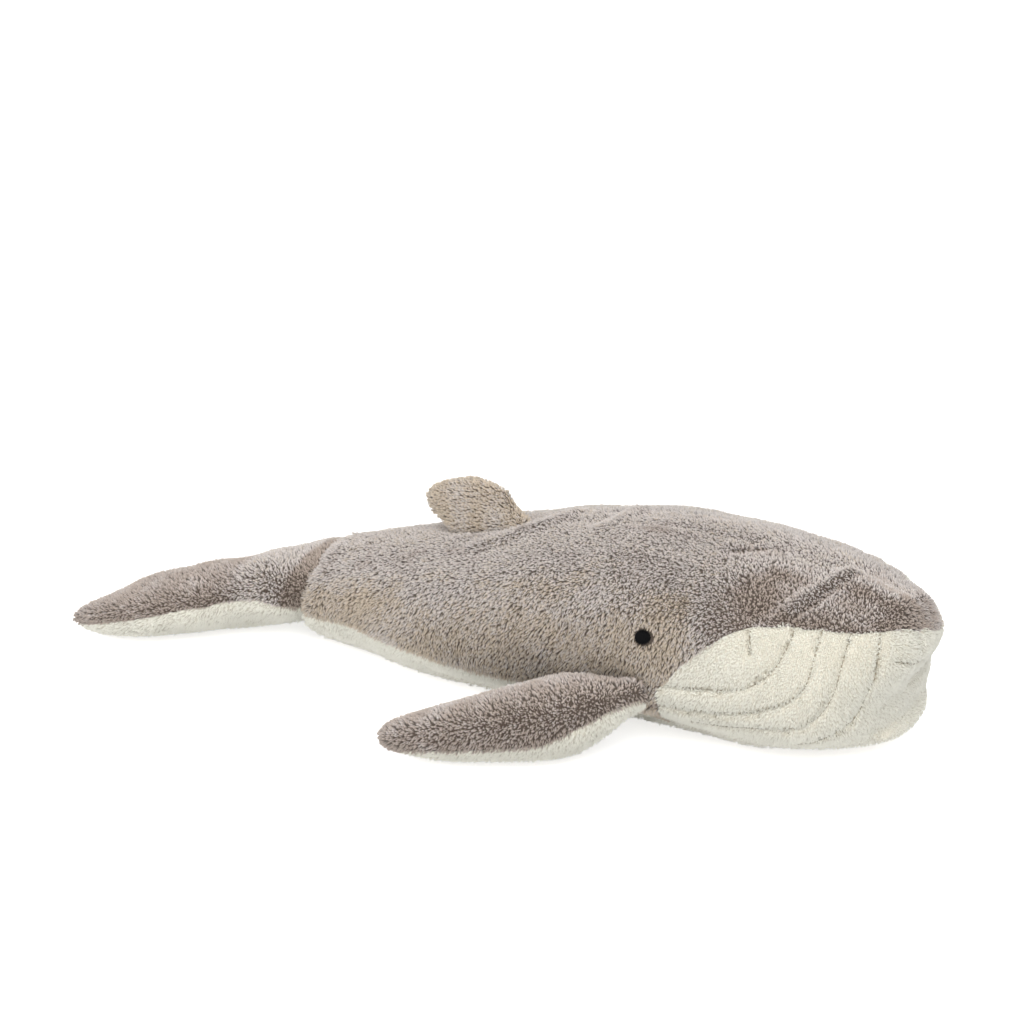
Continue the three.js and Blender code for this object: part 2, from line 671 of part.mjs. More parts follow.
function addLimb(name, pieces) {
  addPiece(`${name}_top`, pieces.top, darkTaupePlush);
  addPiece(`${name}_underside`, pieces.underside, creamPlush);
  addPiece(`${name}_filling`, pieces.filling, fibreFilling);
}

addBody();
addLimb("flipper_right", flipperPieces(-1));
addLimb("flipper_left", flipperPieces(1));
addLimb("fluke", flukePieces());
const fin = finPieces();
addPiece("dorsal_fin_right", fin.right, taupePlush);
addPiece("dorsal_fin_left", fin.left, taupePlush);

// The origin lies on the floor, under the middle of the whole whale
const bounds = new THREE.Box3().setFromObject(whale);
whale.position.x = -(bounds.min.x + bounds.max.x) / 2;

export default whale;
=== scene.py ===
import math

import bpy
import numpy as np
from mathutils import Matrix, Vector
from mathutils.bvhtree import BVHTree
from mathutils.kdtree import KDTree


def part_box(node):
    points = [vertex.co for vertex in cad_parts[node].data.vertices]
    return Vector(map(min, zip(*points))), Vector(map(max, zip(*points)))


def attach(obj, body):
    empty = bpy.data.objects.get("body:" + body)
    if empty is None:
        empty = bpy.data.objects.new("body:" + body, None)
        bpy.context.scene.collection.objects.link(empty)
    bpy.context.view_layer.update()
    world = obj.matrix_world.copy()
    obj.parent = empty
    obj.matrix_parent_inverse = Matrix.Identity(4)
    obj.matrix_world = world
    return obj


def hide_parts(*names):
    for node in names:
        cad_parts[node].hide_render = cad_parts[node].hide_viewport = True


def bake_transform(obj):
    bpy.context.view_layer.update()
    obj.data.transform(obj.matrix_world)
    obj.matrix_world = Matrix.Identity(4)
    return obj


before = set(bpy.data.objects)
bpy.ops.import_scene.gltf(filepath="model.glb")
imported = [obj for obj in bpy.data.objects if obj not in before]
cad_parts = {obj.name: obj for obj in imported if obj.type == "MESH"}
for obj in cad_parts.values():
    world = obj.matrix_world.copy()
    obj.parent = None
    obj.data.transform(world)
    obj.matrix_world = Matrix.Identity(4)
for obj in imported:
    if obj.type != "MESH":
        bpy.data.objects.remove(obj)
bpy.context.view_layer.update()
scene = bpy.context.scene
scene.view_settings.view_transform = "Standard"
mm = 0.001
print("frame loaded")

# Camera: seen from the whale's right, ahead of it and above
cameraSettings = {
    "place": (0.870556, -1.7846, 0.92763),
    "looking": (-0.40531, 0.82944, -0.38439),
    "lens": 120.85,
    "sensor": 36,
}


def addCamera(spec):
    data = bpy.data.cameras.new("camera")
    data.lens = spec["lens"]
    data.sensor_width = spec["sensor"]
    camera = bpy.data.objects.new("camera", data)
    scene.collection.objects.link(camera)
    turn = Vector(spec["looking"]).to_track_quat("-Z", "Y")
    camera.matrix_world = Matrix.Translation(spec["place"]) @ turn.to_matrix().to_4x4()
    scene.camera = camera


addCamera(cameraSettings)


# Shader maths: a Wire is one output socket, and sums on wires add their own nodes
class Wire:
    def __init__(self, tree, socket=None):
        self.tree = tree
        self.socket = socket

    def node(self, kind, settings, sockets, out=0):
        made = self.tree.nodes.new(kind)
        for key, value in settings.items():
            if key == "stops":
                stops = made.color_ramp.elements
                for i, (at, colour) in enumerate(value):
                    stop = stops[i] if i < 2 else stops.new(at)
                    stop.position = at
                    stop.color = colour
            else:
                setattr(made, key, value)
        for key, value in sockets.items():
            if isinstance(value, Wire):
                self.tree.links.new(value.socket, made.inputs[key])
            else:
                made.inputs[key].default_value = value
        return Wire(self.tree, made.outputs[out])

    def maths(self, operation, a, b):
        return self.node("ShaderNodeMath", {"operation": operation}, {0: a, 1: b})

    def __add__(self, other):
        return self.maths("ADD", self, other)

    def __radd__(self, other):
        return self.maths("ADD", other, self)

    def __mul__(self, other):
        return self.maths("MULTIPLY", self, other)

    def __rmul__(self, other):
        return self.maths("MULTIPLY", other, self)

    def __pow__(self, other):
        return self.maths("POWER", self, other)

    def __rpow__(self, other):
        return self.maths("POWER", other, self)


def rgba(colour):
    # written as the eye sees it, 0 to 255, and turned to linear light
    def linear(value):
        share = value / 255
        return share / 12.92 if share <= 0.04045 else ((share + 0.055) / 1.055) ** 2.4
    return tuple(linear(value) for value in colour) + (1,)


def mixColours(wire, share, a, b):
    settings = {"data_type": "RGBA", "blend_type": "MIX"}
    return wire.node("ShaderNodeMix", settings, {0: share, 6: a, 7: b}, out=2)


def newMaterial(name):
    material = bpy.data.materials.new(name)
    material.use_nodes = True
    tree = material.node_tree
    return material, Wire(tree), tree.nodes["Principled BSDF"]


def plug(wire, shader, socket):
    wire.tree.links.new(wire.socket, shader.inputs[socket])


def setShine(shader, values):
    for key, value in values.items():
        shader.inputs[key].default_value = value


pileShine = {"Roughness": 0.85, "Specular IOR Level": 0.25, "Sheen Weight": 0.15, "Sheen Roughness": 0.4}
clothShine = {"Roughness": 0.95, "Sheen Weight": 0.2}
threadTwist = {"strands": 900, "uneven": 0.2}
clothKnit = {"ribs": 260, "ripple": 1.5, "blotches": 55, "blotchShare": 0.7, "relief": 0.5, "raised": 0.0004}


def pileMaterial(name, spec):
    # across its map a strand has its own tone, and up its map it runs from root to tip
    material, start, shader = newMaterial(name)
    place = start.node("ShaderNodeUVMap", {"uv_map": "OFBake"}, {})
    tone = start.node("ShaderNodeSeparateXYZ", {}, {0: place}, out=0)
    height = start.node("ShaderNodeSeparateXYZ", {}, {0: place}, out=1)

    def shades(key):
        stops = sorted((at, rgba(colour)) for at, colour in spec[key])
        stops = [stops[0], stops[-1], *stops[1:-1]]
        return start.node("ShaderNodeValToRGB", {"stops": stops}, {"Fac": tone})

    colour = mixColours(start, height ** spec["fade"], shades("roots"), shades("tips"))
    plug(colour, shader, "Base Color")
    setShine(shader, pileShine)
    return material


def backingMaterial(name, spec):
    # knitted backing cloth: fine ribs and a soft unevenness of colour
    material, start, shader = newMaterial(name)
    place = start.node("ShaderNodeTexCoord", {}, {}, out=3)
    knit = clothKnit
    loops = start.node("ShaderNodeTexWave", {"bands_direction": "X"},
                       {"Vector": place, "Scale": knit["ribs"], "Distortion": knit["ripple"], "Detail": 2}, out=1)
    blotches = start.node("ShaderNodeTexNoise", {}, {"Vector": place, "Scale": knit["blotches"], "Detail": 4})
    share = blotches * knit["blotchShare"] + loops * (1 - knit["blotchShare"])
    plug(mixColours(start, share, rgba(spec["dark"]), rgba(spec["light"])), shader, "Base Color")
    bump = {"Strength": knit["relief"], "Distance": knit["raised"], "Height": loops}
    plug(start.node("ShaderNodeBump", {}, bump), shader, "Normal")
    setShine(shader, clothShine)
    return material


def threadMaterial(name, spec):
    material, start, shader = newMaterial(name)
    place = start.node("ShaderNodeTexCoord", {}, {}, out=3)
    twist = start.node("ShaderNodeTexNoise", {}, {"Vector": place, "Scale": threadTwist["strands"], "Detail": 2})
    plug(mixColours(start, twist, rgba(spec["dark"]), rgba(spec["light"])), shader, "Base Color")
    plug(twist * threadTwist["uneven"] + spec["roughness"], shader, "Roughness")
    setShine(shader, {"Specular IOR Level": spec["shine"]})
    return material


# Along its map a pile runs from the dark mauve-brown of the cheeks, over the grey of the back, to warm beige.
# A strand has its root's colour below and its tip's above; the dark roots are painted shade in the depth of the pile,
# under the tips' own colour
taupeShades = {
    "roots": [(0, (43, 35, 29)), (0.25, (76, 65, 59)), (0.5, (120, 110, 105)), (0.75, (116, 99, 81)),
              (1, (136, 120, 100))],
    "tips": [(0, (216, 199, 185)), (0.25, (223, 209, 199)), (0.5, (251, 245, 241)), (0.75, (232, 216, 194)),
             (1, (242, 229, 209))],
    "fade": 1.35,
}
taupePile = pileMaterial("taupe pile", taupeShades)
darkTaupePile = pileMaterial("dark taupe pile", taupeShades)
# The cream pile's darker roots are painted shade in the depth of the pile as well, and its darkest end gives the
# painted shade of the throat's seams
creamPile = pileMaterial("cream pile", {
    "roots": [(0, (124, 113, 94)), (0.12, (176, 169, 150)), (0.3, (216, 212, 196)), (1, (243, 241, 228))],
    "tips": [(0, (150, 140, 118)), (0.12, (214, 208, 190)), (0.3, (237, 236, 225)), (1, (251, 249, 238))],
    "fade": 0.8,
})
# The taupe backing's dark colour is partly its own and partly painted shade in the gaps between the tufts
taupeBacking = backingMaterial("taupe backing", {"dark": (72, 62, 55), "light": (100, 89, 80)})
creamBacking = backingMaterial("cream backing", {"dark": (196, 190, 175), "light": (220, 215, 201)})
wadding = backingMaterial("polyester wadding", {"dark": (225, 224, 218), "light": (246, 245, 241)})
blackThread = threadMaterial("black thread", {
    "dark": (2, 2, 3), "light": (14, 14, 16), "roughness": 0.45, "shine": 0.07,
})
seamThread = threadMaterial("seam thread", {
    "dark": (122, 111, 92), "light": (160, 149, 129), "roughness": 0.8, "shine": 0.25,
})
print("materials made")


# Mesh helpers
def pointsOf(mesh):
    flat = np.empty(len(mesh.vertices) * 3)
    mesh.vertices.foreach_get("co", flat)
    return flat.reshape(-1, 3)


def setPoints(mesh, points):
    mesh.vertices.foreach_set("co", np.ascontiguousarray(points, dtype=np.float32).ravel())
    mesh.update()


def normalsOf(mesh):
    flat = np.empty(len(mesh.vertices) * 3)
    mesh.vertex_normals.foreach_get("vector", flat)
    return flat.reshape(-1, 3)


def unit(vectors):
    length = np.linalg.norm(vectors, axis=-1, keepdims=True)
    return vectors / np.maximum(length, 1e-9)


def alongSurface(vectors, normals):
    return vectors - (vectors * normals).sum(axis=-1, keepdims=True) * normals


def ramp(value, low, high):
    share = np.clip((value - low) / (high - low), 0, 1)
    return share * share * (3 - 2 * share)


def cloud(points, size, seed):
    # a smooth unevenness from about -1 to 1, the same at every run
    rng = np.random.default_rng(seed)
    total = np.zeros(len(points))
    for _ in range(7):
        wave = unit(rng.normal(size=3)) * 2 * math.pi / size * rng.uniform(0.6, 1.5)
        total += np.sin(points @ wave + rng.uniform(0, 2 * math.pi))
    return total / 3.2


def addObject(name, mesh):
    piece = bpy.data.objects.new(name, mesh)
    scene.collection.objects.link(piece)
    return piece


def meshFrom(name, points, faces):
    mesh = bpy.data.meshes.new(name)
    mesh.vertices.add(len(points))
    mesh.vertices.foreach_set("co", np.ascontiguousarray(points, dtype=np.float32).ravel())
    mesh.loops.add(faces.size)
    mesh.loops.foreach_set("vertex_index", np.ascontiguousarray(faces, dtype=np.int32).ravel())
    mesh.polygons.add(len(faces))
    mesh.polygons.foreach_set("loop_start", np.arange(0, faces.size, faces.shape[1], dtype=np.int32))
    mesh.polygons.foreach_set("use_smooth", np.ones(len(faces), dtype=bool))
    mesh.update(calc_edges=True)
    return mesh


def select(piece):
    bpy.ops.object.select_all(action="DESELECT")
    piece.select_set(True)
    bpy.context.view_layer.objects.active = piece


def startModel(add, **settings):
    # a primitive, alone in the selection
    bpy.ops.object.select_all(action="DESELECT")
    add(**settings)
    return bpy.context.active_object


def finishWith(piece, kind, **settings):
    modifier = piece.modifiers.new(kind.title(), kind)
    for key, value in settings.items():
        setattr(modifier, key, value)
    select(piece)
    bpy.ops.object.modifier_apply(modifier=modifier.name)


def smooth(piece, times):
    finishWith(piece, "SMOOTH", factor=0.5, iterations=times)


def trianglesOf(mesh):
    mesh.calc_loop_triangles()
    flat = np.empty(len(mesh.loop_triangles) * 3, dtype=np.int32)
    mesh.loop_triangles.foreach_get("vertices", flat)
    return flat.reshape(-1, 3)


def nearbyTree(places):
    tree = KDTree(len(places))
    for i, place in enumerate(places):
        tree.insert(place, i)
    tree.balance()
    return tree


def treeOf(mesh):
    return BVHTree.FromPolygons([Vector(point) for point in pointsOf(mesh)], trianglesOf(mesh).tolist())


def takeShape(model):
    # the points and triangles of a modelled shape, of which copies are made, while it goes itself
    shape = pointsOf(model.data), trianglesOf(model.data)
    bpy.data.objects.remove(model, do_unlink=True)
    return shape


def joinShapes(name, shapes):
    starts = np.cumsum([0] + [len(points) for points, corners in shapes])
    faces = [corners + start for (points, corners), start in zip(shapes, starts)]
    return addObject(name, meshFrom(name, np.concatenate([shape[0] for shape in shapes]), np.concatenate(faces)))


def faceOutward(piece):
    select(piece)
    bpy.ops.object.mode_set(mode="EDIT")
    bpy.ops.mesh.select_all(action="SELECT")
    bpy.ops.mesh.normals_make_consistent(inside=False)
    bpy.ops.object.mode_set(mode="OBJECT")


def modelPlug(place, radii, flatEnds=False):
    # fills a socket of the frame, so that the skin runs smoothly over it
    if flatEnds:
        filler = startModel(bpy.ops.mesh.primitive_cylinder_add, vertices=32, radius=1, depth=2, location=place,
                            rotation=(0, math.pi / 2, 0))
    else:
        filler = startModel(bpy.ops.mesh.primitive_uv_sphere_add, segments=24, ring_count=16, radius=1,
                            location=place)
    filler.scale = radii[::-1] if flatEnds else radii
    bpy.ops.object.transform_apply(location=True, rotation=True, scale=True)
    return takeShape(filler)


def joinedNodes(name, nodes, plugs=()):
    # a copy of CAD nodes in one object, its loose triangles merged
    shapes = [(pointsOf(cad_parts[node].data), trianglesOf(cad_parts[node].data)) for node in nodes]
    piece = joinShapes(name, shapes + [modelPlug(*plug) for plug in plugs])
    finishWith(piece, "WELD", merge_threshold=1e-6)
    return piece


def keepLargest(piece):
    # what a remesh leaves inside is dropped
    select(piece)
    mesh = piece.data
    label = np.arange(len(mesh.vertices))
    edges = np.empty(len(mesh.edges) * 2, dtype=np.int32)
    mesh.edges.foreach_get("vertices", edges)
    edges = edges.reshape(-1, 2)
    while True:
        low = np.minimum(label[edges[:, 0]], label[edges[:, 1]])
        before = label.copy()
        np.minimum.at(label, edges[:, 0], low)
        np.minimum.at(label, edges[:, 1], low)
        label = label[label]
        if (label == before).all():
            break
    names, counts = np.unique(label, return_counts=True)
    drop = label != names[counts.argmax()]
    if drop.any():
        mesh.vertices.foreach_set("select", drop)
        mesh.update()
        bpy.ops.object.mode_set(mode="EDIT")
        bpy.ops.mesh.delete(type="VERT")
        bpy.ops.object.mode_set(mode="OBJECT")


restingWall = {"facingDown": (0.6, 0.95), "height": (0.004, 0.012), "above": 1.3}


def drawIn(piece, depth, share=0.4, resting=0.65):
    # moves the wall in along its own direction, less where the piece is thin or rests on the floor
    mesh = piece.data
    tree = treeOf(mesh)
    points, normals = pointsOf(mesh), normalsOf(mesh)
    rests = ramp(-normals[:, 2], *restingWall["facingDown"]) * (1 - ramp(points[:, 2], *restingWall["height"]))
    step = depth * (1 - resting * rests)
    for i, (point, normal) in enumerate(zip(points, normals)):
        inward = Vector(-normal)
        hit = tree.ray_cast(Vector(point) + inward * 0.2 * mm, inward, 100 * mm)
        if hit[3] is not None:
            step[i] = min(step[i], share * hit[3])
    setPoints(mesh, points - normals * step[:, None])


def puffUp(piece, spec):
    # cloth under pressure from inside, each point held to a small movement
    before = pointsOf(piece.data)
    cloth = piece.modifiers.new("Cloth", "CLOTH")
    cloth.settings.use_pressure = True
    cloth.settings.uniform_pressure_force = spec["pressure"]
    cloth.settings.effector_weights.gravity = 0
    cloth.point_cache.frame_start = 1
    cloth.point_cache.frame_end = spec["frames"]
    for step in range(1, spec["frames"] + 1):
        scene.frame_set(step)
    select(piece)
    bpy.ops.object.modifier_apply(modifier=cloth.name)
    scene.frame_set(1)
    moved = pointsOf(piece.data) - before
    length = np.linalg.norm(moved, axis=1, keepdims=True)
    kept = moved * np.minimum(1, spec["most"] / np.maximum(length, 1e-9))
    setPoints(piece.data, before + kept)


def keepOffFloor(piece):
    points = pointsOf(piece.data)
    points[:, 2] = np.maximum(points[:, 2], restingWall["above"] * mm)
    setPoints(piece.data, points)


def makeCage(name, nodes, spec):
    piece = joinedNodes(name, nodes, spec.get("plugs", ()))
    finishWith(piece, "REMESH", mode="VOXEL", voxel_size=spec["voxel"], adaptivity=0)
    keepLargest(piece)
    smooth(piece, spec["smoothing"])
    drawIn(piece, spec["depth"], spec["thinShare"])
    smooth(piece, 2)
    puffUp(piece, spec)
    points = pointsOf(piece.data)
    for axis, start, end, by in spec["reaches"]:
        # an end that meets another piece is let out again towards it
        points[:, axis] += by * ramp(points[:, axis], start, end)
    setPoints(piece.data, points)
    keepOffFloor(piece)
    return piece


# The body's form, as the frame has it, so that places on it can be named
bodyShape = {
    "nose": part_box("throat_panel")[1][0],
    "length": 0.405,
    "halfWidth": 0.096,
    "height": 0.112,
    "noseHeight": 0.060,
    "along": [0, 0.065, 0.13, 0.215, 0.375, 0.54, 0.7, 0.86, 1],
    "width": [0.9, 0.92, 0.94, 0.985, 1, 0.985, 0.925, 0.73, 0.505],
    "top": [0.85, 0.855, 0.895, 0.965, 1, 0.935, 0.795, 0.645, 0.52],
    "bottom": [0.055, 0.045, 0.008, 0, 0, 0, 0, 0.018, 0.035],
    "noseRound": {"width": 0.125, "top": 0.045, "bottom": 0.07},
    "bluntness": {"width": 2.05, "top": 2.6, "bottom": 2.7},
    "widest": 0.42,
    "topPower": 2.1,
    "bottomPower": 2.5,
    "jawSeam": [[-0.04, 0.69], [0.004, 0.712], [0.025, 0.752], [0.1, 0.774], [0.185, 0.79], [0.222, 0.784],
                [0.255, 0.722], [0.298, 0.585], [0.318, 0.494], [0.341, 0.392], [0.352, 0.34]],
}


def bodySection(share):
    form = bodyShape

    def at(key):
        return np.interp(share, form["along"], form[key])

    def filled(key):
        bluntness = form["bluntness"][key]
        rest = 1 - np.clip(share / form["noseRound"][key], 0, 1)
        return (1 - rest ** bluntness) ** (1 / bluntness)

    top = form["noseHeight"] + (at("top") * form["height"] - form["noseHeight"]) * filled("top")
    bottom = form["noseHeight"] - (form["noseHeight"] - at("bottom") * form["height"]) * filled("bottom")
    middle = bottom + (top - bottom) * form["widest"]
    return top, bottom, middle, at("width") * form["halfWidth"] * filled("width")


def onBody(share, turn, side):
    # a place on the body: along it, round its section from the top to the underside, and its side
    share, turn, side = (np.asarray(value, dtype=float) for value in (share, turn, side))
    top, bottom, middle, halfWidth = bodySection(share)
    cosine, sine = np.cos(turn * math.pi), np.abs(np.sin(turn * math.pi))
    power = np.where(cosine > 0, 2 / bodyShape["topPower"], 2 / bodyShape["bottomPower"])
    height = np.where(cosine > 0, top - middle, middle - bottom)
    z = middle + height * np.sign(cosine) * np.abs(cosine) ** power
    x = bodyShape["nose"] - share * bodyShape["length"]
    return np.stack([x + 0 * z, side * halfWidth * sine ** power, z], axis=-1)


def whereOnBody(points):
    share = (bodyShape["nose"] - points[:, 0]) / bodyShape["length"]
    top, bottom, middle, halfWidth = bodySection(np.clip(share, 0.002, 1))
    above = points[:, 2] > middle
    power = np.where(above, bodyShape["topPower"] / 2, bodyShape["bottomPower"] / 2)
    height = np.where(above, top - middle, middle - bottom)
    up = (np.abs(points[:, 2] - middle) / np.maximum(height, 1e-5)) ** power
    out = (np.abs(points[:, 1]) / np.maximum(halfWidth, 1e-5)) ** power
    turn = np.arctan2(out, up) / math.pi
    return share, np.where(above, turn, 1 - turn)


def finerLine(points, steps=12):
    # a smooth line through a few given places
    points = np.asarray(points, dtype=float)
    padded = np.vstack([2 * points[0] - points[1], points, 2 * points[-1] - points[-2]])
    t = np.linspace(0, 1, steps, endpoint=False)[:, None]
    spans = []
    for a, b, c, d in zip(padded, padded[1:], padded[2:], padded[3:]):
        spans.append(0.5 * (2 * b + (c - a) * t + (2 * a - 5 * b + 4 * c - d) * t ** 2
                            + (3 * b - a - 3 * c + d) * t ** 3))
    return np.vstack([*spans, points[-1:]])


jawLine = finerLine(bodyShape["jawSeam"])


# How far the skin's jaw seam lies below the frame's, in millimetres: all along, round the nose and on the left side
jawDrop = {
    "along": 1.5, "nose": 3, "noseEnds": 0.035, "left": 6, "leftSide": (-0.005, 0.02), "leftEnds": (0.06, 0.16),
}


def jawHeight(share, y):
    height = np.interp(share, jawLine[:, 0], jawLine[:, 1]) * bodyShape["height"]
    nose = 1 - ramp(share, 0, jawDrop["noseEnds"])
    left = ramp(y, *jawDrop["leftSide"]) * (1 - ramp(share, *jawDrop["leftEnds"]))
    return height - (jawDrop["along"] + jawDrop["nose"] * nose + jawDrop["left"] * left) * mm


# Sewn furrows of the throat, and the creases and folds of the stuffed body: places on the right side,
# how deep and how wide in millimetres; a negative depth is a ridge
furrowLines = [
    [[0.212, 0.27], [0.208, 0.3], [0.2, 0.33]],
    [[0.155, 0.2], [0.155, 0.278], [0.162, 0.345], [0.177, 0.4], [0.206, 0.452], [0.25, 0.478], [0.35, 0.505]],
    [[0.118, 0.19], [0.113, 0.294], [0.116, 0.394], [0.139, 0.461], [0.175, 0.508], [0.24, 0.56], [0.35, 0.6]],
    [[0.075, 0.19], [0.07, 0.311], [0.072, 0.422], [0.09, 0.505], [0.144, 0.575], [0.24, 0.64], [0.29, 0.66]],
    [[0.0345, 0.19], [0.028, 0.339], [0.03, 0.439], [0.05, 0.575], [0.12, 0.68], [0.15, 0.705]],
]
# Sharp ones are drawn tight to a line, as a sewn seam or a fold is, from this far on either side
tightness = 1.35
creaseLooks = {
    "furrow": {"depth": 2.4, "width": 1.9, "sharp": True},
    "fold": {"depth": 3.2, "width": 2.1, "sharp": True},
    "gather": {"depth": 3.0, "width": 3.0, "sharp": True},
    "ridge": {"depth": -4.0, "width": 5},
    "wave": {"depth": -2.6, "width": 6},
    "swell": {"depth": -3.6, "width": 10},
    "hollow": {"depth": 2.2, "width": 8},
    "back seam": {"depth": 0.9, "width": 3.2},
}
foldLines = [
    ("furrow", [[275, -11, 75], [278, -11.5, 67], [276, -12, 59], [270, -12, 50]]),
    ("furrow", [[268, -36, 68], [272, -28, 64], [276, -18, 60], [277, -8, 57], [277, 6, 53]]),
    ("fold", [[229, 2, 99], [224, -14, 99], [218, -32, 97], [212, -47, 94], [206, -58, 91]]),
    ("ridge", [[224, 4, 100], [219, -13, 100], [213, -33, 98], [207, -48, 95]]),
    ("swell", [[232, -4, 98], [246, -6, 95], [258, -8, 93]]),
    ("hollow", [[226, 22, 98], [244, 22, 94], [258, 18, 91]]),
    ("hollow", [[192, -30, 104], [196, -48, 99], [190, -62, 94]]),
    ("gather", [[157, -14, 109], [164, -8, 110], [170, -3, 110]]),
    ("gather", [[164, -8, 110], [160, 3, 111]]),
    ("wave", [[-14, -28, 90], [8, -14, 93], [22, -4, 97], [30, 6, 99], [34, 19, 99]]),
    ("hollow", [[2, 4, 95], [18, 12, 98], [22, 24, 97]]),
    ("wave", [[66, -8, 107], [70, 6, 107], [72, 30, 104]]),
    ("hollow", [[56, 4, 106], [60, 22, 105]]),
    ("hollow", [[96, -46, 101], [110, -58, 97], [120, -66, 92]]),
    ("back seam", [[200, 0, 103], [160, 0, 110], [100, 0, 110], [40, 0, 101]]),
]


def bodyLine(line, side):
    places = finerLine(line)
    return onBody(places[:, 0], places[:, 1], side)


def densely(line, spacing=0.0012):
    steps = np.linalg.norm(np.diff(line, axis=0), axis=1)
    along = np.concatenate([[0], np.cumsum(steps)])
    at = np.linspace(0, along[-1], max(int(along[-1] / spacing), 2))
    return np.stack([np.interp(at, along, line[:, k]) for k in range(3)], axis=1)


def linesOf(*kinds):
    return [densely(finerLine(line) * mm) for kind, line in foldLines if kind in kinds]


seamLines = [densely(bodyLine(line, side)) for line in furrowLines for side in (-1, 1)]
seamLines += linesOf("furrow")
creases = [(line, creaseLooks["furrow"]) for line in seamLines]
creases += [(densely(finerLine(line) * mm), creaseLooks[kind]) for kind, line in foldLines if kind != "furrow"]


class LineFinder:
    # the way along the surface to the nearest of some lines, which may lie a little above it
    def __init__(self, lines):
        self.places = np.concatenate(lines)
        self.tree = nearbyTree(self.places)

    def ways(self, points, normals, reach=0.02):
        found = [self.tree.find(point) for point in points]
        away = self.places[[hit[1] for hit in found]] - points
        flat = alongSurface(away, normals)
        far = np.array([hit[2] for hit in found]) > reach
        return flat, np.where(far, 1.0, np.linalg.norm(flat, axis=1))


seamFinder = LineFinder(seamLines)

# Painted shade darkens the pile in a fold and painted light lightens it on a ridge, where the pile also lies flat:
# tone, reach and lean
foldShadeAndRidgeLight = [(LineFinder(linesOf("ridge")), 0.5, 4.5, 40), (LineFinder(linesOf("fold", "gather")), 0.1, 1.1, 0)]


# Large soft forms of the stuffed body, in millimetres, with the places in metres between which they fade
bodySwells = {
    "facingUp": (0.2, 0.7),  # of the wall's direction
    "farHead": [(0.18, 0), (0.205, 3), (0.22, 2.8), (0.235, 0.9), (0.25, -1.5), (0.262, 1.2), (0.27, 3)],
    "farSide": (-0.02, 0.02),
    "tail": -0.8, "tailFrom": (0.075, 0.12),
    "uneven": (-0.9, 0.07, 5),
    "lip": (8.5, 0.066, 0.013), "pinch": (-3.5, 0.042, 0.008), "lipWidth": 0.055, "lipFrom": (0.243, 0.266),
    "chin": (20, 0.003, 0.0125), "chinSides": (0.035, 0.08), "chinFrom": (0.2, 0.255),
    "noseLift": 6, "noseFrom": (0.185, 0.25), "tailSag": -2.5, "sagFrom": (0.03, 0.08),
    "flankLift": 2.5, "flankFrom": (0.045, 0.075), "flankEnds": (0.16, 0.2), "liftHeight": (0.004, 0.03),
}


def patches(points, spec):
    amount, size, seed = spec
    return amount * cloud(points, size, seed)


def band(heights, spec):
    amount, middle, reach = spec
    return amount * np.exp(-((heights - middle) / reach) ** 2)


def swellBody(piece):
    # the fuller far side of the head, the lip over the pinched chin, and the sagging throat
    form = bodySwells
    points, normals = pointsOf(piece.data), normalsOf(piece.data)
    x, y, z = points.T
    facingUp = ramp(normals[:, 2], *form["facingUp"])
    out = mm * np.interp(x, *zip(*form["farHead"])) * ramp(y, *form["farSide"]) * facingUp
    out += form["tail"] * mm * ramp(-x, *form["tailFrom"]) * facingUp
    out += mm * patches(points, form["uneven"])
    lip = (band(z, form["lip"]) + band(z, form["pinch"])) * np.exp(-(y / form["lipWidth"]) ** 2)
    chin = band(z, form["chin"]) * (1 - ramp(np.abs(y), *form["chinSides"]))
    push = mm * (ramp(x, *form["lipFrom"]) * lip + ramp(x, *form["chinFrom"]) * chin)
    flank = ramp(np.abs(y), *form["flankFrom"]) * (1 - ramp(x, *form["flankEnds"]))
    lift = form["noseLift"] * ramp(x, *form["noseFrom"]) + form["tailSag"] * ramp(-x, *form["sagFrom"])
    lift = mm * (lift + form["flankLift"] * flank) * (1 - ramp(z, *form["liftHeight"]))
    points = points + normals * out[:, None]
    points[:, 0] += push
    points[:, 2] += lift
    setPoints(piece.data, points)


def creaseSkin(piece):
    swellBody(piece)
    mesh = piece.data
    points, normals = pointsOf(mesh), normalsOf(mesh)
    sharp = LineFinder([line for line, look in creases if look.get("sharp")])
    flat, away = sharp.ways(points, normals)
    pulled = away < tightness * mm
    points[pulled] += flat[pulled]
    sink = np.zeros(len(points))
    for line, look in creases:
        width = look["width"] * mm
        near = np.linalg.norm(points - line.mean(axis=0), axis=1) < np.ptp(line, axis=0).max() + 4 * width
        flat, away = LineFinder([line]).ways(points[near], normals[near])
        shape = np.exp(-away / width) if look.get("sharp") else np.exp(-(away / width) ** 2)
        sunk = look["depth"] * mm * shape
        if look["depth"] < 0:
            sink[near] += sunk
        else:
            sink[near] = np.maximum(sink[near], sunk) + np.minimum(sink[near], 0)
    setPoints(mesh, points - normals * sink[:, None])


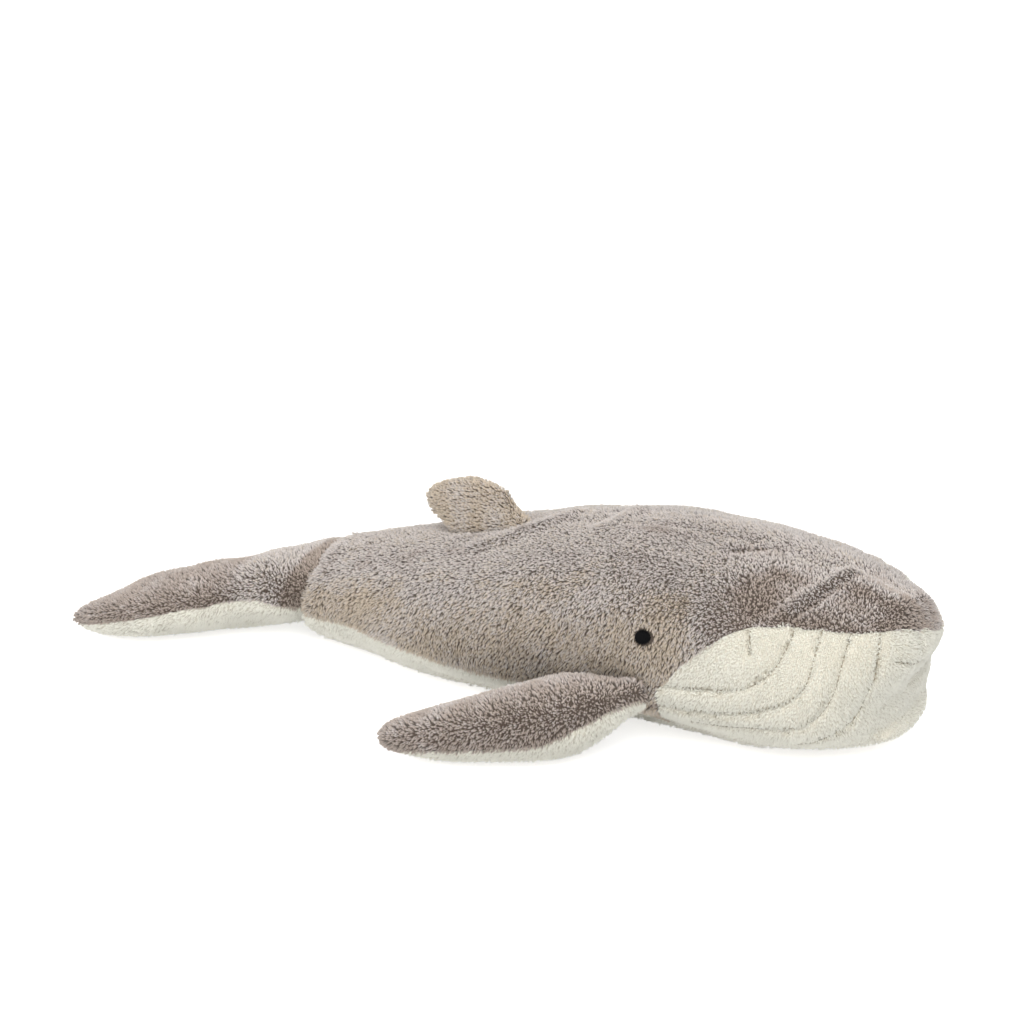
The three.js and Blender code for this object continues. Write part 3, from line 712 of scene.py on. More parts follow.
# Skins: a stuffed cage, creased and then cut into its sewn panels
def cutPanels(skin, panels, spec):
    # each face goes to the panel that spec["sorts"] names or else to the frame's nearest, and seams are smoothed
    mesh = skin.data
    points = pointsOf(mesh)
    faces = [tuple(face.vertices) for face in mesh.polygons]
    trees = [treeOf(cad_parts[node].data) for node in panels]
    middles = np.array([points[list(face)].mean(axis=0) for face in faces])
    label = spec["sorts"](middles) if "sorts" in spec else np.full(len(faces), -1)
    # the seam of a limb may lie lower than the frame's, by millimetres at places along it
    drop = np.interp(middles[:, 0], *zip(*spec.get("seamDrop", [(0, 0)]))) * mm
    for i in np.flatnonzero(label < 0):
        middle = Vector(middles[i] + np.array([0, 0, drop[i]]))
        label[i] = min(range(len(trees)), key=lambda k: trees[k].find_nearest(middle)[3])
    beside = {}
    for i, face in enumerate(faces):
        for a, b in zip(face, face[1:] + face[:1]):
            beside.setdefault((min(a, b), max(a, b)), []).append(label[i])
    neighbours = {}
    for (a, b), found in beside.items():
        if len(set(found)) > 1:
            neighbours.setdefault(a, []).append(b)
            neighbours.setdefault(b, []).append(a)
    tree = treeOf(mesh)
    inLine = [a for a, found in neighbours.items() if len(found) == 2]
    for _ in range(6):
        moved = {a: points[a] / 2 + (points[neighbours[a][0]] + points[neighbours[a][1]]) / 4 for a in inLine}
        for a, place in moved.items():
            points[a] = tree.find_nearest(Vector(place))[0]
    return points, faces, label


def panelMesh(name, points, faces, label, wanted):
    chosen = [face for face, kind in zip(faces, label) if kind == wanted]
    used = sorted({a for face in chosen for a in face})
    number = {a: i for i, a in enumerate(used)}
    mesh = bpy.data.meshes.new(name)
    mesh.from_pydata([tuple(points[a]) for a in used], [], [[number[a] for a in face] for face in chosen])
    mesh.polygons.foreach_set("use_smooth", np.ones(len(mesh.polygons), dtype=bool))
    mesh.update()
    return mesh


# Pieces sewn on at a root keep their places baked in and hang from no body: a place at the body's side and one on the
# limb
softRoots = {
    "fluke": ((-0.114, 0, 0.03), (-0.168, 0, 0.03)),
    "dorsal_fin": ((-0.02, 0, 0.085), (-0.016, 0, 0.1)),
}


def dress(piece, material, body, nodes=()):
    piece.data.materials.clear()
    piece.data.materials.append(material)
    if body in softRoots:
        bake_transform(piece)
    else:
        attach(piece, body)
    if nodes:
        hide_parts(*nodes)


def addStuffing(name, cage, spec, body, node):
    # the filling, just inside the skin
    piece = addObject(name, cage.data.copy())
    smooth(piece, spec["rounding"])
    drawIn(piece, spec["gap"], resting=0)
    smooth(piece, 3)
    points = pointsOf(piece.data)
    for axis, start, end, by in spec.get("endsIn", ()):
        points[:, axis] += by * ramp(points[:, axis], start, end)
    setPoints(piece.data, points)
    dress(piece, wadding, body, [node])


# Pile: one strand, modelled once and set all over the skins
strandForm = {
    "belly": 0.68, "flat": 0.35, "rise": 0.2, "mapWidth": 0.004, "mapEnd": 0.02, "pieceLimit": 48000,
}


def modelStrand(spec):
    # a cone of three sides from the strand's widest place to its tip, one corner of it drawn down to the root
    strand = startModel(bpy.ops.mesh.primitive_cone_add, vertices=3, radius1=1, radius2=0,
                        depth=1 - spec["belly"], location=(0, 0, (1 + spec["belly"]) / 2))
    bpy.ops.object.transform_apply(location=True, rotation=True, scale=True)
    bpy.ops.object.mode_set(mode="EDIT")
    bpy.ops.mesh.select_mode(type="VERT")
    bpy.ops.mesh.select_all(action="DESELECT")
    bpy.ops.object.mode_set(mode="OBJECT")
    strand.data.vertices[0].select = True
    corner = strand.data.vertices[0].co.copy()
    bpy.ops.object.mode_set(mode="EDIT")
    bpy.ops.transform.translate(value=(-corner.x, spec["flat"] - corner.y, -corner.z))
    bpy.ops.object.mode_set(mode="OBJECT")
    points, faces = takeShape(strand)
    points[points[:, 2] > 0.99, 1] = spec["flat"]
    return points, faces


strandPoints, strandFaces = modelStrand(strandForm)


def seedRoots(mesh, density, rng):
    points, normals, triangles = pointsOf(mesh), normalsOf(mesh), trianglesOf(mesh)
    corners = points[triangles]
    across = np.cross(corners[:, 1] - corners[:, 0], corners[:, 2] - corners[:, 0])
    area = np.linalg.norm(across, axis=1) / 2
    wanted = area * 1e6 * density(corners.mean(axis=1), unit(across))
    count = int(wanted.sum())
    edges = np.cumsum(wanted)
    picks = np.searchsorted(edges, (np.arange(count) + rng.random(count)) * edges[-1] / count)
    picks = np.minimum(picks, len(area) - 1)
    a, b = rng.random(count), rng.random(count)
    over = a + b > 1
    a[over], b[over] = 1 - a[over], 1 - b[over]
    weights = np.stack([1 - a - b, a, b], axis=1)[:, :, None]
    roots = (corners[picks] * weights).sum(axis=1)
    return roots, unit((normals[triangles][picks] * weights).sum(axis=1))


def clumpOf(roots, each, rng):
    # tufts of a few strands, evened out by moving each one's middle to the middle of its strands
    centres = rng.choice(len(roots), max(len(roots) // each, 1), replace=False)
    middles = roots[centres]
    for _ in range(2):
        tree = nearbyTree(middles)
        nearest = np.array([tree.find(root)[1] for root in roots])
        total = np.zeros_like(middles)
        np.add.at(total, nearest, roots)
        count = np.bincount(nearest, minlength=len(middles))[:, None]
        middles = np.where(count > 0, total / np.maximum(count, 1), middles)
    return centres, middles, nearest


def growPile(mesh, spec, lay, rng):
    roots, normals = seedRoots(mesh, lambda p, n: spec["density"] * lay(p, n)["density"] * pileShare, rng)
    field = lay(roots, normals)
    keep = field["length"] > spec["shortest"]
    roots, normals = roots[keep], normals[keep]
    field = {key: value[keep] for key, value in field.items()}
    count = len(roots)
    centres, middles, nearest = clumpOf(roots, spec["clump"], rng)
    own = centres[nearest]
    tilt = np.radians(field["tilt"])[:, None]
    stand = normals * np.cos(tilt) + field["way"] * np.sin(tilt)
    wander = rng.normal(size=(count, 3)) * spec["wander"]
    clumpWander = rng.normal(size=(len(centres), 3)) * spec["clumpWander"]
    ownWay = unit(stand + wander + clumpWander[nearest] * field["mess"][:, None])
    clumpWay = unit(stand[centres] + clumpWander * field["mess"][centres][:, None])
    tall = 1 - spec["clumpUneven"] * rng.random(len(centres))
    length = field["length"] * mm * (1 - spec["uneven"] * rng.random(count)) * tall[nearest]
    tips = roots + ownWay * length[:, None]
    clumpTips = middles[nearest] + clumpWay[nearest] * (field["length"][own] * mm * tall[nearest])[:, None]
    pull = spec["pull"] * field["tuft"][:, None] * rng.random(count)[:, None] ** 0.5
    tips = tips * (1 - pull) + clumpTips * pull
    tips[:, 2] = np.maximum(tips[:, 2], spec["aboveFloor"] * mm)
    clumpTone = rng.normal(size=len(centres)) * spec["clumpTone"]
    tone = field["tone"] + clumpTone[nearest] + rng.normal(size=count) * spec["toneSpread"]
    return roots - normals * spec["sunk"] * mm, tips, np.clip(tone, 0.01, 0.99), normals


def stampStrands(name, roots, tips, tone, outward, spec, rng):
    run = tips - roots
    width = spec["width"]
    axis = unit(run)
    helper = unit(rng.normal(size=run.shape))
    across = unit(np.cross(axis, helper))
    other = np.cross(axis, across)
    x, y, z = (strandPoints[:, k][None, :, None] for k in range(3))
    points = roots[:, None, :] + (across[:, None, :] * x + other[:, None, :] * y) * width * mm + run[:, None, :] * z
    faces = strandFaces[None, :, :] + (np.arange(len(roots)) * len(strandPoints))[:, None, None]
    mesh = meshFrom(name, points.reshape(-1, 3), faces.reshape(-1, 3))
    corner = strandFaces.ravel()
    end = strandForm["mapEnd"]
    u = tone[:, None] + strandForm["mapWidth"] * strandPoints[corner, 0][None, :]
    v = np.broadcast_to(end + (1 - 2 * end) * strandPoints[corner, 2][None, :], u.shape)
    layer = mesh.uv_layers.new(name="OFBake")
    layer.data.foreach_set("uv", np.stack([u, v], axis=-1).astype(np.float32).ravel())
    # strands take the light partly as the surface that they make up
    rise = strandForm["rise"] + (1 - strandForm["rise"]) * z
    own = unit(across[:, None, :] * x + other[:, None, :] * y + axis[:, None, :] * rise)
    shared = unit(own * (1 - spec["softness"]) + outward[:, None, :] * spec["softness"])
    mesh.normals_split_custom_set_from_vertices(shared.reshape(-1, 3).astype(np.float32))
    return mesh


def addPile(name, mesh, spec, lay, material, body, seed):
    rng = np.random.default_rng(seed)
    roots, tips, tone, outward = growPile(mesh, spec, lay, rng)
    order = np.argsort(-roots[:, 0], kind="stable")
    parts = max(math.ceil(len(roots) / strandForm["pieceLimit"]), 1)
    for i, some in enumerate(np.array_split(order, parts)):
        title = name if parts == 1 else f"{name}_{i + 1}"
        strands = stampStrands(title, roots[some], tips[some], tone[some], outward[some], spec, rng)
        dress(addObject(title, strands), material, body)
    print(name, len(roots), "strands in", parts)


pileShare = 1

bodyPile = {
    "density": 2.05, "width": 0.28, "clump": 4, "pull": 0.8, "wander": 0.16, "clumpWander": 0.2, "clumpUneven": 0.25,
    "uneven": 0.42, "sunk": 0.5, "clumpTone": 0.05, "toneSpread": 0.08, "softness": 0.35,
    "shortest": 0.2, "aboveFloor": 0.3,
}
eyeSettings = {
    "along": 0.367, "round": 0.355, "radius": 4.9, "bare": 4.7, "parted": 7, "side": 15, "lean": 12, "short": 0.3,
    "thread": 0.33, "pitch": 1.75, "dome": 1.5, "domeReach": 1.04, "steps": 8, "taper": 8, "thinEnd": 0.15,
    "ragged": 0.03, "lift": 1.6,
}
eyePlaces = {side: onBody(eyeSettings["along"], eyeSettings["round"], side) for side in (-1, 1)}
flipperHinges = [np.array([0.123416, side * 0.093, 0.038]) for side in (-1, 1)]


# Where the body's pile changes: shares of its length, turns from the ridge to the underside, and metres off the ridge
bodyZones = {
    "throatEnds": (0.335, 0.35), "seamsEnd": 0.37, "headEnds": (0.22, 0.36), "headSlant": 0.1, "nose": (0.01, 0.04),
    "rim": (0.955, 0.99), "top": (0.02, 0.22), "lit": (0.1, 0.3), "warm": (0.12, 0.4), "under": (0.62, 0.8),
    "ridge": (0.012, 0.045), "farSide": (-0.004, 0.012), "resting": (0.5, 0.9), "hinge": 11, "jawEnds": 0.33,
    "jawLine": 1, "seamsAbove": 5,
}
# How it lies: tailwards for each part downwards, degrees off upright, millimetres long, and tones on the map of
# shades. Uneven ones have an amount, a size and a seed
bodyLook = {
    "tailward": 0.22, "throatTailward": 0.55, "noseForward": 0.1, "throatTurn": (0.03, 0.2), "underTailward": 1.2,
    "rimTailward": 1.1, "underDownward": 0.8, "drift": (0.22, 0.08, 8),
    "lean": 58, "headLean": 40, "throatLean": 22, "underLean": 6, "topLean": 4, "unevenLean": (9, 0.04, 9),
    "length": 4.6, "headShort": 0.6, "throatShort": 1.1, "underShort": 1.0, "rimLong": 0.8,
    "farHead": 0.8, "tone": 0.38, "warmTone": 0.34, "litTone": 0.12, "headTone": 0.36, "litCrownFacing": (0.85, 1),
    "farLight": 0.06, "farLitFacing": (0.2, 0.6), "largePatches": (0.12, 0.05, 3), "smallPatches": (0.09, 0.02, 4),
    "warmPatches": (0.03, 0.08, 21), "warmEven": 0.55, "coolest": 0.52, "throatTone": 0.74,
    "throatPatches": (0.07, 0.02, 4), "foldShading": 0.85, "headDense": 0.06, "underThin": 0.88,
    # all over, and more on the head and on the throat
    "mess": (0.8, 0.5, 0.2), "tuft": (0.5, 0.5, 0.1),
}
# A seam of the throat draws the pile to itself within these millimetres and darkens it as painted shade of the
# furrow; the darkest strands at the line are painted shade in the brown of its thread
seamLook = {
    "reach": (0.2, 1.9), "turn": 0.7, "short": 0.35, "flat": 0.6, "flatFrom": (0.6, 1),
    "shade": 0.08, "thread": 0.58, "lineShadeFrom": (0.82, 0.96),
}


def bodyLay(points, normals):
    zone, look, seam = bodyZones, bodyLook, seamLook
    share, turn = whereOnBody(points)
    side = 2 * ramp(points[:, 1], *zone["ridge"]) - 1
    farSide = ramp(points[:, 1], *zone["farSide"])
    ahead = np.array([1.0, 0, 0])
    down = unit(np.cross(ahead, normals)) * -side[:, None]
    tail = unit(alongSurface(-ahead, normals))
    fall = unit(alongSurface(np.array([0, 0, -1.0]), normals))
    jaw, edge = jawHeight(share, points[:, 1]), zone["jawLine"] * mm
    throat = (1 - ramp(share, *zone["throatEnds"])) * (1 - ramp(points[:, 2], jaw - edge, jaw + edge))
    head = (1 - ramp(share + zone["headSlant"] * turn, *zone["headEnds"])) * (1 - throat)
    head = head * (1 - look["farHead"] * farSide)
    under = ramp(turn, *zone["under"])
    top = 1 - ramp(turn, *zone["top"])
    rim = ramp(share, *zone["rim"])
    tailward = look["tailward"] * (1 - head) * (1 - throat)
    tailward = tailward + throat * (look["throatTailward"] * ramp(share, *look["throatTurn"]) - look["noseForward"])
    tailward = tailward * (1 - under) + look["underTailward"] * under
    downward = 1 - look["underDownward"] * under
    drift = patches(points, look["drift"]) * (1 - throat)
    way = unit(down * (downward + drift)[:, None] + tail * (tailward - drift)[:, None])
    nose = 1 - ramp(share, *zone["nose"])
    way = unit(way * (1 - nose)[:, None] + fall * nose[:, None])
    way = unit(way + look["rimTailward"] * tail * rim[:, None])
    tilt = look["lean"] - look["headLean"] * head - look["throatLean"] * throat + look["underLean"] * under
    tilt = tilt + look["topLean"] * top * (1 - head) + patches(points, look["unevenLean"])
    length = look["length"] - look["headShort"] * head - look["throatShort"] * throat
    length = length - look["underShort"] * under + look["rimLong"] * rim
    # the colour: warm on the flanks, cool on the back and dark on the head; painted light makes the back lighter, and
    # the crown and the far side where they face up
    warm = ramp(turn + patches(points, look["warmPatches"]), *zone["warm"]) * (1 - head)
    lit = (1 - ramp(turn, *zone["lit"])) * (1 - head)
    litCrown = ramp(normals[:, 2], *look["litCrownFacing"])
    tone = look["tone"] + look["warmTone"] * warm + look["litTone"] * lit - look["headTone"] * head * (1 - litCrown)
    tone = tone + look["farLight"] * farSide * ramp(normals[:, 2], *look["farLitFacing"])
    uneven = patches(points, look["largePatches"]) + patches(points, look["smallPatches"])
    tone = np.minimum(tone + uneven * (1 - look["warmEven"] * warm), look["coolest"] + warm)
    tone = tone * (1 - throat) + (look["throatTone"] + patches(points, look["throatPatches"])) * throat
    # painted shade in the folds and gathers, painted light along the ridges
    for finder, paintedTone, reach, lean in foldShadeAndRidgeLight:
        flat, away = finder.ways(points, normals)
        near = look["foldShading"] * np.exp(-(away / mm / reach) ** 2) * (1 - throat)
        tone = tone + (paintedTone - tone) * near
        tilt = tilt + lean * near
    low = (points[:, 2] < jaw + zone["seamsAbove"] * mm) & (share < zone["seamsEnd"])
    near, toLine = np.zeros(len(points)), np.zeros_like(points)
    flat, away = seamFinder.ways(points[low], normals[low])
    near[low] = 1 - ramp(away / mm, *seam["reach"])
    toLine[low] = unit(flat)
    way = unit(way * (1 - seam["turn"] * near)[:, None] - toLine * (seam["turn"] * near)[:, None])
    length = length * (1 - seam["short"] * near)
    tilt = tilt * (1 - seam["flat"] * ramp(near, *seam["flatFrom"]))
    # painted shade along the throat's seams, darkest at the line
    tone = tone - seam["shade"] * near - seam["thread"] * ramp(near, *seam["lineShadeFrom"])
    for place in eyePlaces.values():
        # along the skin the pile parts round the eye, and none grows under it
        apart = points - place
        flat = alongSurface(apart, normals)
        beside = np.linalg.norm(apart, axis=1) < eyeSettings["side"] * mm
        away = np.where(beside, np.linalg.norm(flat, axis=1) / mm, np.inf)
        near = 1 - ramp(away, eyeSettings["bare"], eyeSettings["parted"])
        way = unit(way * (1 - near)[:, None] + unit(flat) * near[:, None])
        tilt = tilt + eyeSettings["lean"] * near
        length = np.where(away < eyeSettings["bare"], 0, length * (1 - eyeSettings["short"] * near))
    for hinge in flipperHinges:
        length = np.where(np.linalg.norm(points - hinge, axis=1) < zone["hinge"] * mm, 0, length)
    mess, tuft = (plain + onHead * head + onThroat * throat
                  for plain, onHead, onThroat in (look["mess"], look["tuft"]))
    resting = under * ramp(-normals[:, 2], *zone["resting"])
    density = 1 + look["headDense"] * head - look["underThin"] * resting
    return {
        "way": way, "tilt": tilt, "length": length, "tone": tone, "mess": mess, "tuft": tuft, "density": density,
    }


# A limb's pile turns down at the edges, and lies flat and thin where it rests on the floor; painted light makes it
# lighter where it faces up, and painted shade darker where it faces down
limbLook = {
    "sway": (0.2, 0.5, 0), "swayPatches": (1, 0.06, 15), "facingDown": (0.3, 0.8), "resting": (0.004, 0.012),
    "restingLean": 25, "edgeLean": 18, "restingShort": 2, "restingThin": 0.5, "topTone": 0.1,
    "patches": (0.1, 0.03, 16), "undersideTone": 0.9, "undersideLean": 15,
}


def limbLay(spec):
    look = limbLook

    def lay(points, normals):
        steep = 1 - np.abs(normals[:, 2])
        toTip = np.array(spec["way"])[None, :] - np.array([0, 0, 1.0]) * (spec["fall"] * steep)[:, None]
        if "spread" in spec:
            toTip = toTip + np.array([0, 1.0, 0]) * (np.sign(points[:, 1]) * spec["spread"])[:, None]
        toTip = toTip + np.array(look["sway"]) * patches(points, look["swayPatches"])[:, None]
        way = unit(alongSurface(toTip, normals))
        low = ramp(-normals[:, 2], *look["facingDown"]) * (1 - ramp(points[:, 2], *look["resting"]))
        # painted light on faces turned up, painted shade on faces turned down
        tone = spec["tone"] + look["topTone"] * normals[:, 2] + patches(points, look["patches"])
        if spec.get("saddle"):
            # painted light over the swelling, and painted shade in the crease behind the body's rim
            light, start, dark, crease, lightest = spec["saddle"]
            tone = tone + light * ramp(points[:, 0], *start) - dark * ramp(points[:, 0], *crease)
            tone = np.minimum(tone, lightest)
        return {
            "way": way, "tilt": spec["tilt"] + look["restingLean"] * low + look["edgeLean"] * steep * spec["fall"],
            "length": spec["length"] - look["restingShort"] * low, "tone": tone,
            "mess": np.full(len(points), spec["mess"]), "tuft": np.full(len(points), spec["tuft"]),
            "density": 1 - look["restingThin"] * low,
        }
    return lay


def sortBody(middles):
    # ahead of the flippers the seam is the line of the jaw: right back 0, left back 1, throat 2
    share = (bodyShape["nose"] - middles[:, 0]) / bodyShape["length"]
    jaw = jawHeight(share, middles[:, 1])
    front = np.where(middles[:, 2] < jaw, 2, np.where(middles[:, 1] < 0, 0, 1))
    return np.where(share < bodyZones["jawEnds"], front, -1)


# Body
bodySkin = {
    "nodes": ["back_panel_right", "back_panel_left", "throat_panel", "belly_panel", "body_filling"],
    "voxel": 0.005, "smoothing": 2, "depth": 0.004, "thinShare": 0.4, "pressure": 4, "frames": 20, "most": 0.004,
    "reaches": [(0, -0.108, -0.124, -0.0035)], "cloth": 1.2, "sorts": sortBody,
    "rounding": 25, "gap": 0.006, "endsIn": [(0, -0.09, -0.12, 0.008)], "fill": 0.9,
    "plugs": [((hinge[0], hinge[1] * 0.84, hinge[2]), (0.024, 0.0165, 0.024)) for hinge in flipperHinges]
    + [((-0.112, 0, 0.031), (0.0165, 0.045, 0.0238), True)],
}
skinColours = {
    "taupe": (taupeBacking, taupePile, "taupe_plush"),
    "dark": (taupeBacking, darkTaupePile, "dark_taupe_plush"),
    "cream": (creamBacking, creamPile, "cream_plush"),
}


def addSkins(name, spec, panels, body, lays, shape, keepCage=False):
    # panels: frame node to piece name, colour and seed; lays: colour to lay
    cage = makeCage(name + " cage", spec["nodes"], spec)
    filling = [node for node in spec["nodes"] if node.endswith("_filling")]
    if filling:
        addStuffing(name + "_stuffing", cage, spec, body, filling[0])
    finishWith(cage, "SUBSURF", levels=1, render_levels=1)
    shape(cage)
    keepOffFloor(cage)
    points, faces, label = cutPanels(cage, list(panels), spec)
    for k, (node, (title, colour, seed)) in enumerate(panels.items()):
        backing, pile, slot = skinColours[colour]
        mesh = panelMesh(title, points, faces, label, k)
        addPile(title.replace("skin", "pile"), mesh, spec["pile"], lays[colour], pile, body, seed)
        skin = addObject(title, mesh)
        finishWith(skin, "SOLIDIFY", thickness=spec["cloth"] * mm, offset=-1)
        dress(skin, backing, body, [node])
    print(name, "skins made")
    if keepCage:
        return cage
    bpy.data.objects.remove(cage, do_unlink=True)


bodyCage = addSkins("body", {**bodySkin, "pile": bodyPile}, {
    "back_panel_right": ("back_skin_right", "taupe", 11),
    "back_panel_left": ("back_skin_left", "taupe", 12),
    "throat_panel": ("throat_skin", "cream", 13),
    "belly_panel": ("belly_skin", "cream", 14),
}, "body", {"taupe": bodyLay, "cream": bodyLay}, creaseSkin, keepCage=True)


# Flippers, fluke and fin
limbSkin = {
    "voxel": 0.005, "smoothing": 2, "depth": 0.0037, "thinShare": 0.36, "pressure": 4, "frames": 20, "most": 0.003,
    "cloth": 0.8, "rounding": 4, "gap": 0.0025, "fill": 0.8,
}
limbPile = {**bodyPile, "density": 2.1}


def limbLays(look):
    taupe = limbLay(look)
    tilt = look["tilt"] + limbLook["undersideLean"]
    # the cream undersides are set light: their own cream, raised further as painted light against the shade beneath
    # them
    cream = limbLay({**look, "tone": limbLook["undersideTone"], "tilt": tilt, "saddle": None})
    return {"dark": taupe, "taupe": taupe, "cream": cream}


flipperTip = {"rise": 4, "from": (-0.035, 0.005), "underside": (0.006, 0.02)}


def roundTip(piece):
    # the flipper's tip rises a little from the floor
    points, tip = pointsOf(piece.data), flipperTip
    rise = ramp(-points[:, 0], *tip["from"]) * (1 - ramp(points[:, 2], *tip["underside"]))
    points[:, 2] += tip["rise"] * mm * rise
    setPoints(piece.data, points)


flipperLook = {"fall": 0.9, "tilt": 18, "length": 4.2, "tone": 0.14, "mess": 1.2, "tuft": 0.9}
flipperSeam = [(-0.01, 8), (0.012, 6.6), (0.033, 8), (0.05, 10.5), (0.0875, 11), (0.105, 4), (0.12, 0)]
for side, word in ((-1, "right"), (1, "left")):
    part = f"flipper_{word}"
    nodes = [f"{part}_{panel}" for panel in ("top", "underside", "filling")]
    root = (1, side * 0.112, side * 0.099, -side * 0.004)
    tip = (0, 0.02, -0.01, -0.004)
    spec = {**limbSkin, "nodes": nodes, "pile": limbPile, "reaches": [root, tip], "seamDrop": flipperSeam}
    look = {**flipperLook, "way": (-1, side * 0.35, 0.1)}
    addSkins(part, spec, {
        f"{part}_top": (f"{part}_skin_top", "dark", 21 + side),
        f"{part}_underside": (f"{part}_skin_underside", "cream", 31 + side),
    }, part, limbLays(look), roundTip)


# The fluke's root swells out behind the rim of the body, as one saddle: millimetres, and places in metres
rootSwells = {
    "saddle": (4.5, -0.15, 0.016), "saddleHeight": (0.012, 0.03), "facingUp": (0.1, 0.7), "uneven": (0.7, 0.06, 6),
    "ridge": (2.5, -0.162, 0.013), "back": (0.7, -0.188, 0.024), "neck": 0.56, "neckFrom": (-0.155, -0.14),
    "lobes": 4, "lobesFrom": (0.2, 0.255), "lift": 1.5, "liftFrom": (-0.18, -0.15), "liftHeight": (0.008, 0.03),
}
saddleEdge = {"end": -0.158, "high": 0.035, "at": -0.16, "slope": 0.37}


def swellRoot(piece):
    form = rootSwells
    points, normals = pointsOf(piece.data), normalsOf(piece.data)
    x, z = points[:, 0], points[:, 2]
    saddle = band(np.minimum(x, form["saddle"][1]), form["saddle"]) * ramp(z, *form["saddleHeight"])
    above = band(x, form["back"]) + band(x, form["ridge"]) - form["neck"] * ramp(x, *form["neckFrom"])
    above = (above + form["lobes"] * ramp(-x, *form["lobesFrom"])) * ramp(normals[:, 2], *form["facingUp"])
    lift = form["lift"] * mm * ramp(x, *form["liftFrom"]) * (1 - ramp(z, *form["liftHeight"]))
    out = mm * (saddle + above + patches(points, form["uneven"]))
    points = points + normals * out[:, None]
    points[:, 2] += lift
    setPoints(piece.data, points)


def sortFluke(middles):
    # the taupe of the root comes down over its sides as a saddle
    x, z, edge = middles[:, 0], middles[:, 2], saddleEdge
    return np.where((x > edge["end"]) & (z > edge["high"] - edge["slope"] * (x - edge["at"])), 0, -1)


addSkins("fluke", {
    **limbSkin, "nodes": ["fluke_top", "fluke_underside", "fluke_filling"], "pile": limbPile,
    "reaches": [(0, -0.165, -0.142, 0.004), (0, -0.235, -0.262, -0.001), (1, -0.05, -0.08, -0.014),
                (1, 0.13, 0.155, -0.007)],
    "sorts": sortFluke, "seamDrop": [(0, 3)],
}, {
    "fluke_top": ("fluke_skin_top", "dark", 41),
    "fluke_underside": ("fluke_skin_underside", "cream", 42),
}, "fluke", limbLays({
    "way": (-1, 0.3, 0.1), "spread": 0.4, "fall": 0.5, "tilt": 32, "length": 4.4, "tone": 0.09, "mess": 1,
    # saddle tones: painted light over the root's swelling, painted shade in the crease behind the body's rim, and the
    # lightest tone
    "tuft": 0.6, "saddle": (0.42, (-0.18, -0.158), 0.714, (-0.145, -0.138), 0.5),
}), swellRoot)

finSweep = {"by": 9, "foot": (0.088, 0.11), "edge": (-0.03, 0)}


def sweepFin(piece):
    # its leading edge runs far forward at the foot
    points = pointsOf(piece.data)
    foot = 1 - ramp(points[:, 2], *finSweep["foot"])
    points[:, 0] += finSweep["by"] * mm * foot * ramp(points[:, 0], *finSweep["edge"])
    setPoints(piece.data, points)


addSkins("dorsal_fin", {
    **limbSkin, "nodes": ["dorsal_fin_right", "dorsal_fin_left"], "voxel": 0.003, "depth": 0.0018,
    "pile": {**limbPile, "density": 3.2}, "reaches": [(0, -0.038, -0.052, -0.005), (2, 0.1, 0.112, 0.003)],
}, {
    "dorsal_fin_right": ("dorsal_fin_skin_right", "taupe", 51),
    "dorsal_fin_left": ("dorsal_fin_skin_left", "taupe", 52),
}, "dorsal_fin", limbLays({
    "way": (-1, 0, 0.75), "fall": 0, "tilt": 48, "length": 4.2, "tone": 0.7, "mess": 1, "tuft": 0.5,
}), sweepFin)


# Eyes: a disc of satin stitches, laid side by side over a low dome
def addEye(name, side, node, skin):
    spec = eyeSettings
    centre = onBody(spec["along"], spec["round"], side)
    ahead = onBody(spec["along"] - 0.01, spec["round"], side) - centre
    downward = onBody(spec["along"], spec["round"] + 0.01, side) - centre
    out = unit(np.cross(ahead, downward))
    out = out * (1 if out[1] * side > 0 else -1)
    up = unit(alongSurface(-downward, out))
    across = np.cross(up, out)
    hit = treeOf(skin.data).ray_cast(Vector(centre + out * 0.01), Vector(-out))
    centre = np.array(hit[0])
    stitch = startModel(bpy.ops.mesh.primitive_cylinder_add, vertices=6, radius=1, depth=2, end_fill_type="NGON")
    bpy.ops.object.mode_set(mode="EDIT")
    for height in np.linspace(-1, 1, spec["steps"] + 1)[1:-1]:
        bpy.ops.mesh.select_all(action="SELECT")
        bpy.ops.mesh.bisect(plane_co=(0, 0, height), plane_no=(0, 0, 1))
    bpy.ops.object.mode_set(mode="OBJECT")
    shape, faces = takeShape(stitch)
    radius, thread = spec["radius"] * mm, spec["thread"] * mm
    stitches = []
    places = np.arange(-radius + thread, radius - thread / 2, thread * spec["pitch"])
    for i, place in enumerate(places):
        reach = math.sqrt(max(radius ** 2 - place ** 2, 0)) * (1 - spec["ragged"] * (i * 7 % 3))
        along = shape[:, 2] * reach
        inDome = (along ** 2 + place ** 2) / (radius * spec["domeReach"]) ** 2
        height = spec["dome"] * mm * np.sqrt(np.clip(1 - inDome, 0, 1))
        end = np.sqrt(np.clip(1 - np.abs(shape[:, 2]) ** spec["taper"], spec["thinEnd"], 1))
        points = (centre + across * (place + shape[:, 0] * thread * end)[:, None] + up * along[:, None]
                  + out * (height + shape[:, 1] * thread * end + spec["lift"] * mm)[:, None])
        stitches.append((points, faces))
    piece = joinShapes(name, stitches)
    faceOutward(piece)
    dress(piece, blackThread, "body", [node])


stitchSettings = {"long": 3.2, "gap": 0.15, "radius": 0.36, "above": 0.6, "startOut": 8, "inside": (0.225, 0.3, 0.05)}


